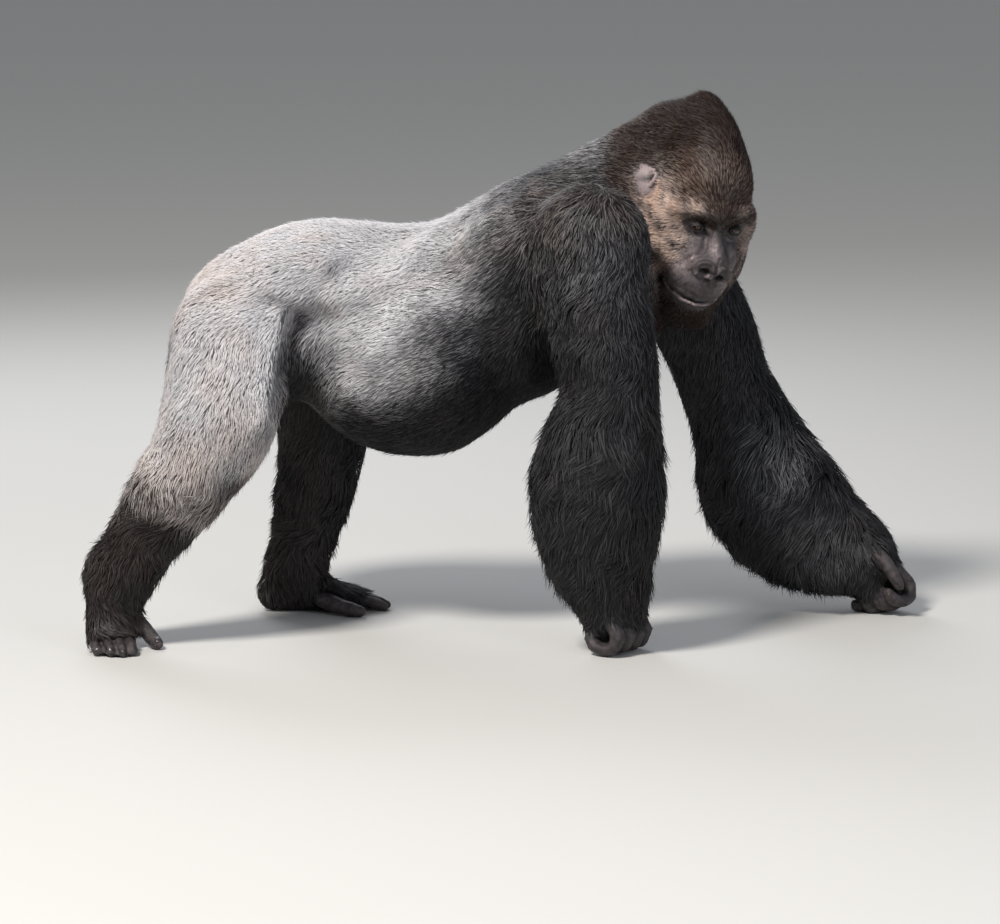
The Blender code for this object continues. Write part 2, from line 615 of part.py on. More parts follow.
# Where a person would part the body: the piece cut, the new piece, and the box that holds it.
PARTINGS = [
    ("trunk", "upper_arm_right", lambda g: united([
        box((0.182, -0.374, 0.793), (0.274, 0.450, 0.346), (-7, 0, 0), g),
        box((0.200, -0.395, 0.445), (0.360, 0.450, 0.390), grow=g),
        box((0.240, -0.325, 0.085), (0.440, 0.450, 0.370), grow=g)])),
    ("trunk", "upper_arm_left", lambda g: united([
        box((0.570, 0.349, 0.735), (0.870, 0.482, 0.230), grow=g),
        box((0.570, 0.358, 0.884), (0.870, 0.464, 0.080), grow=g),
        box((0.640, 0.390, 0.520), (0.880, 0.500, 0.240), grow=g),
        box((0.760, 0.250, 0.160), (0.800, 0.500, 0.520), grow=g)])),
    ("upper_arm_right", "forearm_right", lambda g: beyond((0.215, -0.290, 0.505), (0, 0, -1), grow=g)),
    ("forearm_right", "hand_right", lambda g: beyond((0.220, -0.265, 0.152), (0, 0, -1), grow=g)),
    ("upper_arm_left", "forearm_left", lambda g: beyond((0.505, 0.270, 0.420), (0.45, 0, -0.89), grow=g)),
    ("forearm_left", "hand_left", lambda g: beyond((0.722, 0.186, 0.140), (0.80, -0.15, -0.55), grow=g)),
    ("trunk", "thigh_right", lambda g: box((-0.690, -0.335, 0.255), (0.570, 0.500, 0.830), (0, 8, 0), g)),
    ("trunk", "thigh_left", lambda g: box((-0.540, 0.340, 0.235), (0.500, 0.500, 0.830), (0, -14, 0), g)),
    ("thigh_right", "shin_right", lambda g: beyond((-0.610, -0.222, 0.375), (-0.6, 0, -0.8), grow=g)),
    ("shin_right", "foot_right", lambda g: beyond((-0.768, -0.205, 0.140), (-0.3, -0.2, -0.9), grow=g)),
    ("thigh_left", "shin_left", lambda g: beyond((-0.372, 0.215, 0.375), (0, 0, -1), grow=g)),
    ("shin_left", "foot_left", lambda g: beyond((-0.420, 0.198, 0.108), (0, 0, -1), grow=g)),
    ("trunk", "head", lambda g: beyond((0.262, 0.010, 0.900), (0.93, -0.25, 0.28), 0.5, 0.7, g)),
    ("head", "ear_left", lambda g: around_ear(1, g)),
    ("head", "ear_right", lambda g: around_ear(-1, g)),
    ("head", "jaw", lambda g: in_head(box((0.110, 0, -0.232), (0.260, 0.300, 0.200), (0, 8, 0), g))),
    ("trunk", "neck", lambda g: beyond((0.165, 0.000, 0.850), (0.85, 0, 0.50), 0.5, 0.7, g)),
    ("trunk", "pelvis", lambda g: beyond((-0.315, 0, 0.620), (-1, 0, 0.12), 0.6, 0.9, g)),
    ("trunk", "belly", lambda g: beyond((-0.020, 0, 0.620), (-0.93, 0, -0.30), 0.6, 0.9, g)),
]


# ---------------------------------------------------------------- the nodes


def trimmed(mesh):
    """A piece cut off flat at the floor, if it reaches that low."""
    if points_of(mesh)[:, 2].min() > 0:
        return mesh
    return boolean(mesh, box((0, 0, -0.5), (4, 4, 1)), "DIFFERENCE")


def all_pieces():
    """Every node's mesh by name."""
    pieces = {"trunk": thinned(body_form(), BODY_TRIANGLES)}
    for source, name, make in PARTINGS:
        part_off(pieces, source, name, make)
    pieces["chest"] = pieces.pop("trunk")
    for side in ("left", "right"):
        pieces["head"] = boolean(pieces["head"], eye(side, GAP / 2), "DIFFERENCE")
        pieces["eye_" + side] = eye(side)
        for limb, digits in (("hand_", hand_pieces), ("foot_", foot_pieces)):
            for name, room in digits(side, GAP).items():
                pieces[limb + side] = boolean(pieces[limb + side], room, "DIFFERENCE")
            pieces.update(digits(side))
    return {name: trimmed(mesh) for name, mesh in pieces.items()}


def material_of(name, finishes):
    if name.startswith("eye"):
        return finishes["eye"]
    if name.startswith("ear") or "finger" in name or "thumb" in name or "toe" in name:
        return finishes["skin"]
    if name.startswith(("pelvis", "belly", "thigh")):
        return finishes["silver"]
    return finishes["brown"] if name in ("head", "jaw") else finishes["black"]


def main():
    clear_scene()
    shown = collection("gorilla")
    finishes = {
        "black": material("black coat", COAT_BLACK, 0.7),
        "silver": material("silver coat", COAT_SILVER, 0.7),
        "brown": material("brown coat", COAT_BROWN, 0.7),
        "skin": material("bare skin", BARE_SKIN, 0.5),
        "eye": material("eye", EYE_BROWN, 0.1),
    }
    pieces = all_pieces()
    everything = np.vstack([points_of(mesh) for mesh in pieces.values()])
    middle = (everything.min(0) + everything.max(0)) / 2
    for name, mesh in pieces.items():
        mesh.transform(Matrix.Translation((-middle[0], -middle[1], 0)))
        mesh.materials.clear()
        mesh.materials.append(material_of(name, finishes))
        mesh.shade_smooth()
        mesh.set_sharp_from_angle(angle=math.radians(42))
        object_from(name, mesh, shown)


if __name__ == "__main__":
    main()
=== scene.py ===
# %% [markdown]
# # A silverback gorilla, dressed in skin and coat
#
# The imported model gives the animal's true size, pose and outline, out to the tips of the hair. This lesson keeps
# that outline and makes what the eye sees: one unbroken skin, wet eyes, nails, and a coat of small solid tufts.
# The net, the coat's depth and the tufts are computed from the imported model. The forms of the face, the lines of the
# muscles and the edges of the markings are placed one by one, in metres.

import math

import bmesh
import bpy
import numpy as np
from mathutils import Matrix, Vector
from mathutils.bvhtree import BVHTree
from mathutils.kdtree import KDTree


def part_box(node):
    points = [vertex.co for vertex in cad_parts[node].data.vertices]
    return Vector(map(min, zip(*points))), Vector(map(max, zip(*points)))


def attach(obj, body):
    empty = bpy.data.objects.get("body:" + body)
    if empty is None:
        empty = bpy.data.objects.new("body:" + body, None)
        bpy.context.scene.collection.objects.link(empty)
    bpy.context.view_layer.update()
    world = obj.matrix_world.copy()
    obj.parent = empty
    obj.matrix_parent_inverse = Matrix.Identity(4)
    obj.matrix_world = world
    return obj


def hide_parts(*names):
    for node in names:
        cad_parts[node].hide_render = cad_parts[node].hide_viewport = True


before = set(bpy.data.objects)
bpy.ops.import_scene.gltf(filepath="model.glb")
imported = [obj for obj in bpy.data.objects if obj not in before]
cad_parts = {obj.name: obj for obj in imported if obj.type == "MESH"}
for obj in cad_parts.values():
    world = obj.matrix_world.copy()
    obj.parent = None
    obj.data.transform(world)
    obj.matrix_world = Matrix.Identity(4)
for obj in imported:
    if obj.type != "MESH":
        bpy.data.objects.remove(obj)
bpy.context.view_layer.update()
rng = np.random.default_rng(11)

# %% [markdown]
# ## Places to measure from
#
# The head is turned and lowered, so its features are easiest to give in its own axes: +X the way it looks, +Y to
# its left, +Z up through the crest. The two eyeballs fix where that system sits. The middle between them is a known
# point of the skull, and the turn and the lowering are the pose's two driving angles.

# %% The head's own axes
HEAD_TURN = math.radians(-76)
HEAD_LOWERED = math.radians(22)
HEAD_TILT = math.radians(-8)
BETWEEN_EYES = Vector((0.1035, 0, 0.006))      # from the middle of the skull


def middle_of(node_name):
    low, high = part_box(node_name)
    return (low + high) / 2


head_turn = (Matrix.Rotation(HEAD_TURN, 3, "Z") @ Matrix.Rotation(HEAD_LOWERED, 3, "Y")
             @ Matrix.Rotation(HEAD_TILT, 3, "X"))
eye_middles = {side: middle_of("eye_" + side) for side in ("left", "right")}
skull = (eye_middles["left"] + eye_middles["right"]) / 2 - head_turn @ BETWEEN_EYES
HEAD_AXES = np.array(head_turn)
HEAD_MIDDLE = np.array(skull)
EYE_RADIUS = (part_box("eye_left")[1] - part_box("eye_left")[0])[2] / 2


def to_head(points):
    return (points - HEAD_MIDDLE) @ HEAD_AXES


def from_head(points):
    return np.asarray(points) @ HEAD_AXES.T + HEAD_MIDDLE


print("skull middle", HEAD_MIDDLE.round(3), "eye radius", round(EYE_RADIUS * 1000, 1), "mm")

# %% [markdown]
# ## One skin
#
# The model is cut into pieces that a person would name, but an animal has no seams. A voxel remesh reads the pieces
# as one closed volume and gives back one even net of small quads. Each piece is first made a hair's breadth fatter,
# so that the thin cuts close. Another way would be to sew the pieces' edges together, which fails where a cut
# crosses a fold.

# %% Join the pieces and melt them into one net
SKIN_GRAIN = 0.0064      # edge of the net's quads
CUT_FILL = 0.0008        # how much each piece grows, to close the cuts


def array_of(collection, name, width, kind=np.float32):
    values = np.empty(len(collection) * width, kind)
    collection.foreach_get(name, values)
    return values.reshape(-1, width)


def points_of(mesh):
    return array_of(mesh.vertices, "co", 3).astype(float)


def normals_of(mesh):
    return array_of(mesh.vertex_normals, "vector", 3).astype(float)


def tree_of(mesh):
    """Finds the nearest place on a mesh."""
    return BVHTree.FromPolygons(points_of(mesh).tolist(), [list(face.vertices) for face in mesh.polygons])


def set_points(mesh, points):
    mesh.vertices.foreach_set("co", np.asarray(points, np.float32).ravel())
    mesh.update()


def joined_nodes():
    """All the model's pieces in one mesh, each a little fatter, and the node that each face came from."""
    work = bmesh.new()
    owners = []
    for name, piece in sorted(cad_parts.items()):
        copy = piece.data.copy()
        work_piece = bmesh.new()
        work_piece.from_mesh(copy)
        bmesh.ops.remove_doubles(work_piece, verts=work_piece.verts, dist=1e-5)
        work_piece.to_mesh(copy)
        work_piece.free()
        set_points(copy, points_of(copy) + normals_of(copy) * CUT_FILL)
        owners += [name] * len(copy.polygons)
        work.from_mesh(copy)
        bpy.data.meshes.remove(copy)
    mesh = bpy.data.meshes.new("skin")
    work.to_mesh(mesh)
    work.free()
    return mesh, np.array(owners)


def show(name, mesh):
    made = bpy.data.objects.new(name, mesh)
    bpy.context.scene.collection.objects.link(made)
    return made


pieces_mesh, face_owner = joined_nodes()
pieces_tree = tree_of(pieces_mesh)
skin = show("skin", pieces_mesh)
melt = skin.modifiers.new("melt", "REMESH")
melt.mode = "VOXEL"
melt.voxel_size = SKIN_GRAIN
melted = bpy.data.meshes.new_from_object(skin.evaluated_get(bpy.context.evaluated_depsgraph_get()))
skin.modifiers.clear()
skin.data = melted
melted.name = "skin"
print("skin net:", len(melted.vertices), "points")

# %% [markdown]
# ## What grows where
#
# A gorilla's hair is short and flat on the back, woolly on the thighs, long and shaggy on the forearms, and missing
# on the face, fingers and toes. Each piece of the model has its own row here: how long the hair is, how deep the
# coat lies, how strongly the hairs gather into locks, and which way they point. The values are then averaged along
# the net, so one coat runs into the next with no edge.

# %% The coat's rows
# length mm, depth mm, gathering 0-1, tufts per square centimetre, and the way the hair points
COAT = {
    "head": (17, 7, 0.15, 12, (0, 0, 0)),
    "jaw": (13, 4, 0.15, 12, (0, 0, 0)),
    "ear": (0, 0, 0, 0, (-1, 0, -1)),
    "eye": (0, 0, 0, 0, (0, 0, 1)),
    "neck": (27, 11, 0.20, 7.5, (-0.8, 0, -0.45)),
    "chest": (26, 11, 0.18, 6.6, (-0.75, 0, -0.60)),
    "belly": (23, 10, 0.12, 6.6, (-0.90, 0, -0.35)),
    "pelvis": (22, 9, 0.10, 6.8, (-0.75, 0, -0.60)),
    "upper_arm": (36, 13, 0.40, 5.6, (-0.25, 0, -0.97)),
    "forearm": (68, 17, 0.92, 4.8, (-0.42, 0, -0.90)),
    "hand": (40, 11, 0.50, 6.5, (0, 0, -1)),
    "thigh": (30, 12, 0.30, 7.0, (-0.30, 0, -0.95)),
    "shin": (44, 14, 0.50, 5.6, (-0.45, 0, -0.90)),
    "foot": (38, 10, 0.50, 6.5, (0.2, 0, -1)),
    "digit": (0, 0, 0, 0, (1, 0, 0)),
}
SOFTENING = 16           # rounds of averaging along the net
DEPTH_SOFTENING = 70     # the same for the depth, so that the skin shows no step


def coat_row(node_name):
    if "finger" in node_name or "thumb" in node_name or "toe" in node_name:
        return COAT["digit"]
    return next(row for kind, row in COAT.items() if node_name.startswith(kind))


def edges_of(mesh):
    return array_of(mesh.edges, "vertices", 2, np.int32)


def averaged(values, edges, rounds, share=0.5):
    """Each point's values, drawn towards the mean of its neighbours' a number of times."""
    count = len(values)
    ends = np.bincount(edges.ravel(), minlength=count)[:, None]
    share = np.broadcast_to(np.asarray(share, float).reshape(-1, 1), (count, 1))
    for _ in range(rounds):
        total = np.empty_like(values)
        for k in range(values.shape[1]):
            total[:, k] = (np.bincount(edges[:, 0], values[edges[:, 1], k], count)
                           + np.bincount(edges[:, 1], values[edges[:, 0], k], count))
        values = values + share * (total / ends - values)
    return values


def unit(vectors):
    return vectors / np.maximum(np.linalg.norm(vectors, axis=-1, keepdims=True), 1e-9)


skin_edges = edges_of(melted)
found = [pieces_tree.find_nearest(point)[2] for point in points_of(melted).tolist()]
point_owner = face_owner[found]
rows = {name: coat_row(name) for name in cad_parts}
coat = np.array([list(rows[name][:4]) + list(rows[name][4]) for name in point_owner], float)
print("skin points by piece:", {name: int((point_owner == name).sum()) for name in ("head", "chest", "hand_left")})

# %% [markdown]
# ## Round off the facets and go under the coat
#
# The model's faces are coarse, because the coat hides them. Averaging the points along the net rounds the facets
# off. The head, fingers and toes get fewer rounds than the trunk, so that they keep their form. The skin then moves
# inwards by the coat's depth, which leaves room for the hair up to the model's surface.

# %% Smooth and sink the skin
TRUNK_ROUNDS = 26
FEATURE_ROUNDS = 3


def smooth_step(value, low, high):
    t = np.clip((value - low) / (high - low), 0, 1)
    return t * t * (3 - 2 * t)


def face_amount(p):
    """1 on the bare face, 0 on the hairy head and everywhere else, in head axes."""
    upper = np.sqrt(((p[:, 0] - 0.125) / 0.080) ** 2 + (p[:, 1] / 0.062) ** 2 + ((p[:, 2] + 0.060) / 0.066) ** 2)
    lower = np.sqrt(((p[:, 0] - 0.130) / 0.070) ** 2 + (p[:, 1] / 0.074) ** 2 + ((p[:, 2] + 0.104) / 0.050) ** 2)
    socket = np.sqrt(((p[:, 0] - 0.110) / 0.05) ** 2 + ((np.abs(p[:, 1]) - 0.041) / 0.029) ** 2
                     + ((p[:, 2] - 0.004) / 0.021) ** 2)
    return 1 - smooth_step(upper, 0.80, 1.20) * smooth_step(lower, 0.80, 1.20) * smooth_step(socket, 0.80, 1.20)


def falloff(distance, radius):
    return np.clip(1 - (distance / radius) ** 2, 0, None) ** 2


def distance_to_line(points, line):
    nearest = np.full(len(points), np.inf)
    for a, b in zip(line[:-1], line[1:]):
        run = b - a
        t = np.clip((points - a) @ run / max(run @ run, 1e-12), 0, 1)
        nearest = np.minimum(nearest, np.linalg.norm(points - a - t[:, None] * run, axis=1))
    return nearest


# Lines that the muscles draw, on the left side: their stops, the brush's radius and how deep it presses.
SIDE_VIEW = np.array([1, 0.12, 1])      # distances to these lines count little across the body
THIGH_FOLD = ((-0.419, 0.24, 0.662), (-0.431, 0.25, 0.608), (-0.443, 0.25, 0.540), (-0.452, 0.25, 0.465))
BODY_LINES = [
    (((-0.375, 0.22, 0.650), (-0.388, 0.24, 0.590), (-0.398, 0.24, 0.510)), 0.070, 0.012),
    (THIGH_FOLD, 0.030, 0.046),
    (((-0.448, 0.26, 0.672), (-0.466, 0.27, 0.600), (-0.478, 0.27, 0.530), (-0.486, 0.26, 0.465)), 0.036, -0.013),
    (((-0.505, 0.24, 0.702), (-0.462, 0.245, 0.690), (-0.420, 0.24, 0.674)), 0.026, 0.010),
    (((-0.505, 0.24, 0.738), (-0.455, 0.24, 0.724), (-0.405, 0.23, 0.706)), 0.036, -0.010),
    (((-0.318, 0.20, 0.762), (-0.262, 0.20, 0.790), (-0.215, 0.19, 0.828), (-0.175, 0.17, 0.866),
      (-0.130, 0.15, 0.892)), 0.050, 0.022),
    (((-0.345, 0.22, 0.702), (-0.262, 0.23, 0.730), (-0.200, 0.22, 0.778), (-0.150, 0.20, 0.838)), 0.044, -0.012),
    (((-0.350, 0.22, 0.560), (-0.270, 0.25, 0.545), (-0.180, 0.26, 0.590)), 0.060, 0.010),
    (((0.060, 0.23, 0.800), (0.080, 0.26, 0.700), (0.105, 0.24, 0.560)), 0.050, 0.018),
]


def body_forms(points, normals):
    """Deepens the fold before each thigh, the hollow behind the ribs and the groove behind each arm."""
    for stops, radius, depth in BODY_LINES:
        for side in (1, -1):
            line = np.array(stops) * [1, side, 1]
            away = distance_to_line(points * SIDE_VIEW, line * SIDE_VIEW)
            outer = smooth_step(normals[:, 1] * side, 0.0, 0.4) * (points[:, 1] * side > 0.05)
            points = points - normals * (falloff(away, radius) * outer * depth)[:, None]
    return points


points = points_of(melted)
bare_piece = np.array([rows[name][0] == 0 for name in point_owner], float)
feature = np.clip(bare_piece + np.isin(point_owner, ["head", "jaw"]), 0, 1)[:, None]
feature = averaged(feature, skin_edges, 6)[:, 0]
points = averaged(points, skin_edges, FEATURE_ROUNDS)
points = averaged(points, skin_edges, TRUNK_ROUNDS, 0.5 * (1 - feature))
coat[:, :2] *= 1 - face_amount(to_head(points))[:, None]
coat = averaged(coat, skin_edges, SOFTENING)
coat[:, 1:2] = averaged(coat[:, 1:2], skin_edges, DEPTH_SOFTENING, 0.5 * (1 - feature))
coat *= np.where(bare_piece > 0, 0.25, 1)[:, None] ** np.array([1, 1, 0, 0, 0, 0, 0])
set_points(melted, points)
points = body_forms(points, normals_of(melted))
points = averaged(points, skin_edges, 2)
set_points(melted, points)
points -= normals_of(melted) * coat[:, 1:2] * 0.001
points = averaged(points, skin_edges, 3)
points[:, 2] = np.maximum(points[:, 2], 0.0)
set_points(melted, points)
print("deepest coat", round(coat[:, 1].max(), 1), "mm")

# %% [markdown]
# ## A finer net on the face, fingers and toes
#
# Lids, nostrils and lips are finer than the net. Each quad of the fingers and toes is split in four, each of the face
# and ears twice over, and those round the eyes, nostrils and mouth once more, so that points lie about 0.8 mm apart
# where they are needed and nowhere else.

# %% Split the quads where the form is fine
FACE_LOW = np.array([0.030, -0.092, -0.185])
FACE_HIGH = np.array([0.200, 0.092, 0.070])
EYE = np.array([BETWEEN_EYES.x, 0.040, BETWEEN_EYES.z])
NOSTRIL = np.array([0.158, 0.0180, -0.0700])
EAR = np.array([-0.019, 0.113, 0.042])
EAR_REACH = 0.046
MOUTH = np.array([(0.098, 0.066, -0.117), (0.112, 0.060, -0.124), (0.130, 0.050, -0.130),
                  (0.154, 0.026, -0.1345), (0.163, 0, -0.1350)])


def folded(places):
    """Both sides laid on the left one."""
    return np.abs(places) * [0, 1, 0] + places * [1, 0, 1]


def split_quads(mesh, chosen_points):
    """Splits every face whose points are all chosen into four."""
    work = bmesh.new()
    work.from_mesh(mesh)
    work.verts.ensure_lookup_table()
    inside = [face for face in work.faces if all(chosen_points[corner.index] for corner in face.verts)]
    edges = list({edge for face in inside for edge in face.edges})
    bmesh.ops.subdivide_edges(work, edges=edges, cuts=1, use_grid_fill=True)
    loose = [face for face in work.faces if len(face.verts) > 4]
    bmesh.ops.triangulate(work, faces=loose)
    work.to_mesh(mesh)
    work.free()


def in_face_box(local):
    return ((local > FACE_LOW) & (local < FACE_HIGH)).all(1)


def on_face(local):
    chosen = in_face_box(local)
    for side in (1, -1):
        chosen |= np.linalg.norm((local - EAR * [1, side, 1]) * [1, 1.4, 1], axis=1) < EAR_REACH
    return chosen


def on_finest(local):
    side = folded(local)
    return ((np.linalg.norm(side - EYE, axis=1) < 0.024) | (np.linalg.norm(side - NOSTRIL, axis=1) < 0.025)
            | (distance_to_line(side, MOUTH) < 0.009))


smooth_skin = melted.copy()          # the even net, kept for planting the coat
low_down = averaged(np.isin(point_owner, [n for n in rows if rows[n] is COAT["digit"]])[:, None].astype(float),
                    skin_edges, 4)[:, 0] > 0.2
split_quads(melted, low_down | on_face(to_head(points_of(melted))))
split_quads(melted, on_face(to_head(points_of(melted))))
split_quads(melted, on_finest(to_head(points_of(melted))))
print("skin net with a finer face:", len(melted.vertices), "points")

# %% [markdown]
# Melting the pieces has joined the fingers, and the toes. A groove is pressed in again between each pair of
# neighbours: for fingers, in the plane between their two rows, and for toes, midway between the two model pieces and
# down over their tips.

# %% Part the fingers and the toes
HAND_SCALE = 1.18
FINGER_SPACING = 0.0285          # before the hand is scaled
GROOVE_DEPTH = 0.0075
FINGER_GROOVE, TOE_GROOVE = 0.0062, 0.0085      # half widths


def turned(degrees_xyz):
    x, y, z = (math.radians(a) for a in degrees_xyz)
    return np.array(Matrix.Rotation(z, 3, "Z") @ Matrix.Rotation(y, 3, "Y") @ Matrix.Rotation(x, 3, "X"))


HANDS = {"left": (np.array([0.7913, 0.1626, -0.003]), turned((-22, 0, 46))),      # where each stands, and its axes
         "right": (np.array([0.2113, -0.2374, -0.003]), turned((0, 0, -34)))}
HEADINGS = {"left": math.radians(4), "right": math.radians(-74)}      # the way each foot points
TOES = ("big_toe", "second_toe", "middle_toe", "fourth_toe", "little_toe")


def pointing(heading):
    return np.array([math.cos(heading), math.sin(heading), 0])


def toe_line(name, ahead):
    """Middle of the toe's root, middle of its tip, and the point below the tip on the floor."""
    own = points_of(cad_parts[name].data)
    reach = own @ ahead
    root_end, tip_end = own[reach < reach.min() + 0.008].mean(0), own[reach > reach.max() - 0.008].mean(0)
    return np.array([root_end, tip_end + 0.004 * ahead, (tip_end + 0.004 * ahead) * [1, 1, 0]])


points, normals = points_of(melted), normals_of(melted)
for place, hand in HANDS.values():
    local = (points - place) @ hand / HAND_SCALE
    on_fingers = ((np.abs(local[:, 1]) < 0.05) & (local[:, 0] > -0.045) & (local[:, 0] < 0.08)
                  & (local[:, 2] > -0.015)) * smooth_step(0.090 - local[:, 2], 0, 0.022)
    across = np.abs(normals @ hand[:, 1])
    for between in (-1, 0, 1):
        strength = falloff(np.abs(local[:, 1] - between * FINGER_SPACING), FINGER_GROOVE)
        points -= normals * (GROOVE_DEPTH * strength * on_fingers * (1 - across))[:, None]
for side, heading in HEADINGS.items():
    ahead = pointing(heading)
    for a, b in zip(TOES[1:-1], TOES[2:]):
        line = (toe_line(f"{a}_{side}", ahead) + toe_line(f"{b}_{side}", ahead)) / 2
        line[:, 2] += [0.012, 0.006, 0]
        strength = falloff(distance_to_line(points * [1, 1, 0.45], line * [1, 1, 0.45]), TOE_GROOVE)
        points -= normals * (GROOVE_DEPTH * strength * (normals[:, 2] > -0.5))[:, None]
points[:, 2] = np.maximum(points[:, 2], 0.0)
set_points(melted, points)

# %% [markdown]
# ## Sculpt the face
#
# The strokes are a sculptor's: a grab brush that moves what is near a centre, and a line that is pressed in or
# raised. Each stroke is given once, on the left side, and made on both. A line is first laid on the surface, so that
# its depth is the same all along. The forms are those of a grown male: a bar of brow over deep eyes, a broad nose
# whose wings ring the nostrils, a long upper lip, a thin mouth that turns down at its corners.

# %% Brushes
def smooth_line(stops, steps=8):
    """A curve through the stops."""
    stops = np.asarray(stops, float)
    padded = np.vstack([2 * stops[0] - stops[1], stops, 2 * stops[-1] - stops[-2]])
    made = []
    for a, b, c, d in zip(padded[:-3], padded[1:-2], padded[2:-1], padded[3:]):
        for t in np.linspace(0, 1, steps, endpoint=False):
            made.append(0.5 * (2 * b + (c - a) * t + (2 * a - 5 * b + 4 * c - d) * t**2
                               + (3 * b - a - 3 * c + d) * t**3))
    return np.array(made + [stops[-1]])


class Clay:
    """The head's points in its own axes, with the brushes that move them."""

    def __init__(self, mesh):
        self.mesh = mesh
        self.local = to_head(points_of(mesh))
        self.near = np.flatnonzero(on_face(self.local))
        self.edges = edges_of(mesh)
        self.refresh()

    def refresh(self):
        """Puts the moved points back and reads the surface's directions again."""
        set_points(self.mesh, from_head(self.local))
        self.normals = normals_of(self.mesh) @ HEAD_AXES
        self.finder = KDTree(len(self.near))
        for k, point in zip(self.near.tolist(), self.local[self.near].tolist()):
            self.finder.insert(point, k)
        self.finder.balance()

    def laid(self, stops):
        return np.array([self.local[self.finder.find(Vector(p))[1]] for p in smooth_line(stops)])

    def grab(self, centre, radius, move, squash=(1, 1, 1)):
        for side in (1, -1):
            flip = np.array([1, side, 1])
            away = np.linalg.norm((self.local[self.near] - np.array(centre) * flip) / np.array(squash), axis=1)
            self.local[self.near] += falloff(away, radius)[:, None] * np.array(move) * flip * (
                0.5 if centre[1] == 0 else 1)

    def line(self, stops, width, height, both=True):
        """Raises a line by a height, or presses it in where that is negative."""
        for side in (1, -1) if both else (1,):
            path = self.laid(np.array(stops) * np.array([1, side, 1]))
            p = self.local[self.near]
            close = self.near[((p > path.min(0) - width) & (p < path.max(0) + width)).all(1)]
            away = distance_to_line(self.local[close], path)
            self.local[close] += (falloff(away, width) * height)[:, None] * self.normals[close]

    def soften(self, rounds):
        """Rounds off what the finer net shows of the coarse one, near the face only."""
        inside = np.zeros(len(self.local))
        inside[in_face_box(self.local)] = 0.5
        self.local = averaged(self.local, self.edges, rounds, inside)


# %% [markdown]
# The face is worked from large to small. First the soft forms, with a smooth pass after them.

# %% Large forms of the face
clay = Clay(melted)
clay.soften(26)
clay.refresh()
clay.line([(0.070, 0.076, 0.026), (0.094, 0.058, 0.036), (0.107, 0.032, 0.037), (0.108, 0, 0.032)], 0.028, 0.0055)
clay.grab((0.112, 0.041, 0.013), 0.028, (-0.010, 0, 0), (1.5, 1.15, 0.70))          # eye socket
clay.grab((0.150, 0.022, -0.062), 0.021, (0.008, 0.002, -0.001))                    # wing of the nose
clay.grab((0.140, 0, -0.040), 0.020, (0.008, 0, 0.002), (1.5, 0.8, 1.2))           # bridge
clay.grab((0.150, 0, -0.105), 0.040, (0.007, 0, -0.002), (1.5, 1.2, 0.8))          # upper lip
clay.grab((0.118, 0.060, -0.100), 0.034, (0.002, 0.006, -0.002))                    # side of the muzzle
clay.grab((0.140, 0, -0.160), 0.034, (0.005, 0, -0.002), (1.5, 1.2, 0.8))          # chin
clay.refresh()
clay.line([(0.108, 0.016, -0.004), (0.124, 0.020, -0.030), (0.137, 0.034, -0.050)], 0.010, -0.0045)
clay.line([(0.136, 0.038, -0.056), (0.126, 0.050, -0.080), (0.106, 0.066, -0.104)], 0.010, -0.0036)
clay.refresh()
clay.soften(6)
clay.refresh()

# %% [markdown]
# The nostrils look forward and out. A thick rim rings each one, runs up to the bridge and down to the lip.

# %% Nose
def ring(centre, across, up, sweep, turn=0.0, steps=9):
    """Stops along part of an ellipse that faces forward."""
    angles = np.radians(np.linspace(sweep[0], sweep[1], steps))
    y = across * np.cos(angles)
    z = up * np.sin(angles)
    c, s = math.cos(turn), math.sin(turn)
    return [(centre[0], centre[1] + c * a - s * b, centre[2] + s * a + c * b) for a, b in zip(y, z)]


WING = ring(NOSTRIL, 0.0172, 0.0165, (-75, 200), 0.30)
clay.line(WING, 0.0070, 0.0060)
clay.refresh()
clay.grab(NOSTRIL, 0.0120, (-0.018, 0.001, 0.003), (1.4, 0.95, 0.80))
clay.line([(0.150, 0.000, -0.040), (0.162, 0.000, -0.056), (0.166, 0.000, -0.074)], 0.0045, -0.0020, both=False)
clay.line([(0.150, 0.038, -0.086), (0.158, 0.020, -0.093), (0.162, 0, -0.090)], 0.006, -0.0026)
clay.refresh()

# %% [markdown]
# The mouth is one thin closed line with a rolled lip above and below. It turns down, and its corners end in a fold.

# %% Mouth
clay.line(MOUTH + np.array([0, 0, 0.0065]), 0.0080, 0.0024)
clay.line(MOUTH - np.array([0, 0, 0.0065]), 0.0080, 0.0024)
clay.refresh()
clay.line(MOUTH, 0.0050, -0.0080)
clay.line([(0.098, 0.066, -0.119), (0.092, 0.069, -0.128), (0.090, 0.068, -0.138)], 0.007, -0.0022)
clay.refresh()

# %% [markdown]
# Folds and wrinkles follow the muscles: rings under the eye, creases across the root of the nose, and fine lines
# that run down the upper lip.

# %% Wrinkles
wrinkle_rng = np.random.default_rng(5)


def crease(stops, width, height):
    """A line whose stops stray a little, so that no two creases match."""
    strayed = np.array(stops, float) + wrinkle_rng.normal(0, 0.0012, (len(stops), 3))
    clay.line(strayed, width, height * wrinkle_rng.uniform(0.6, 1.2))


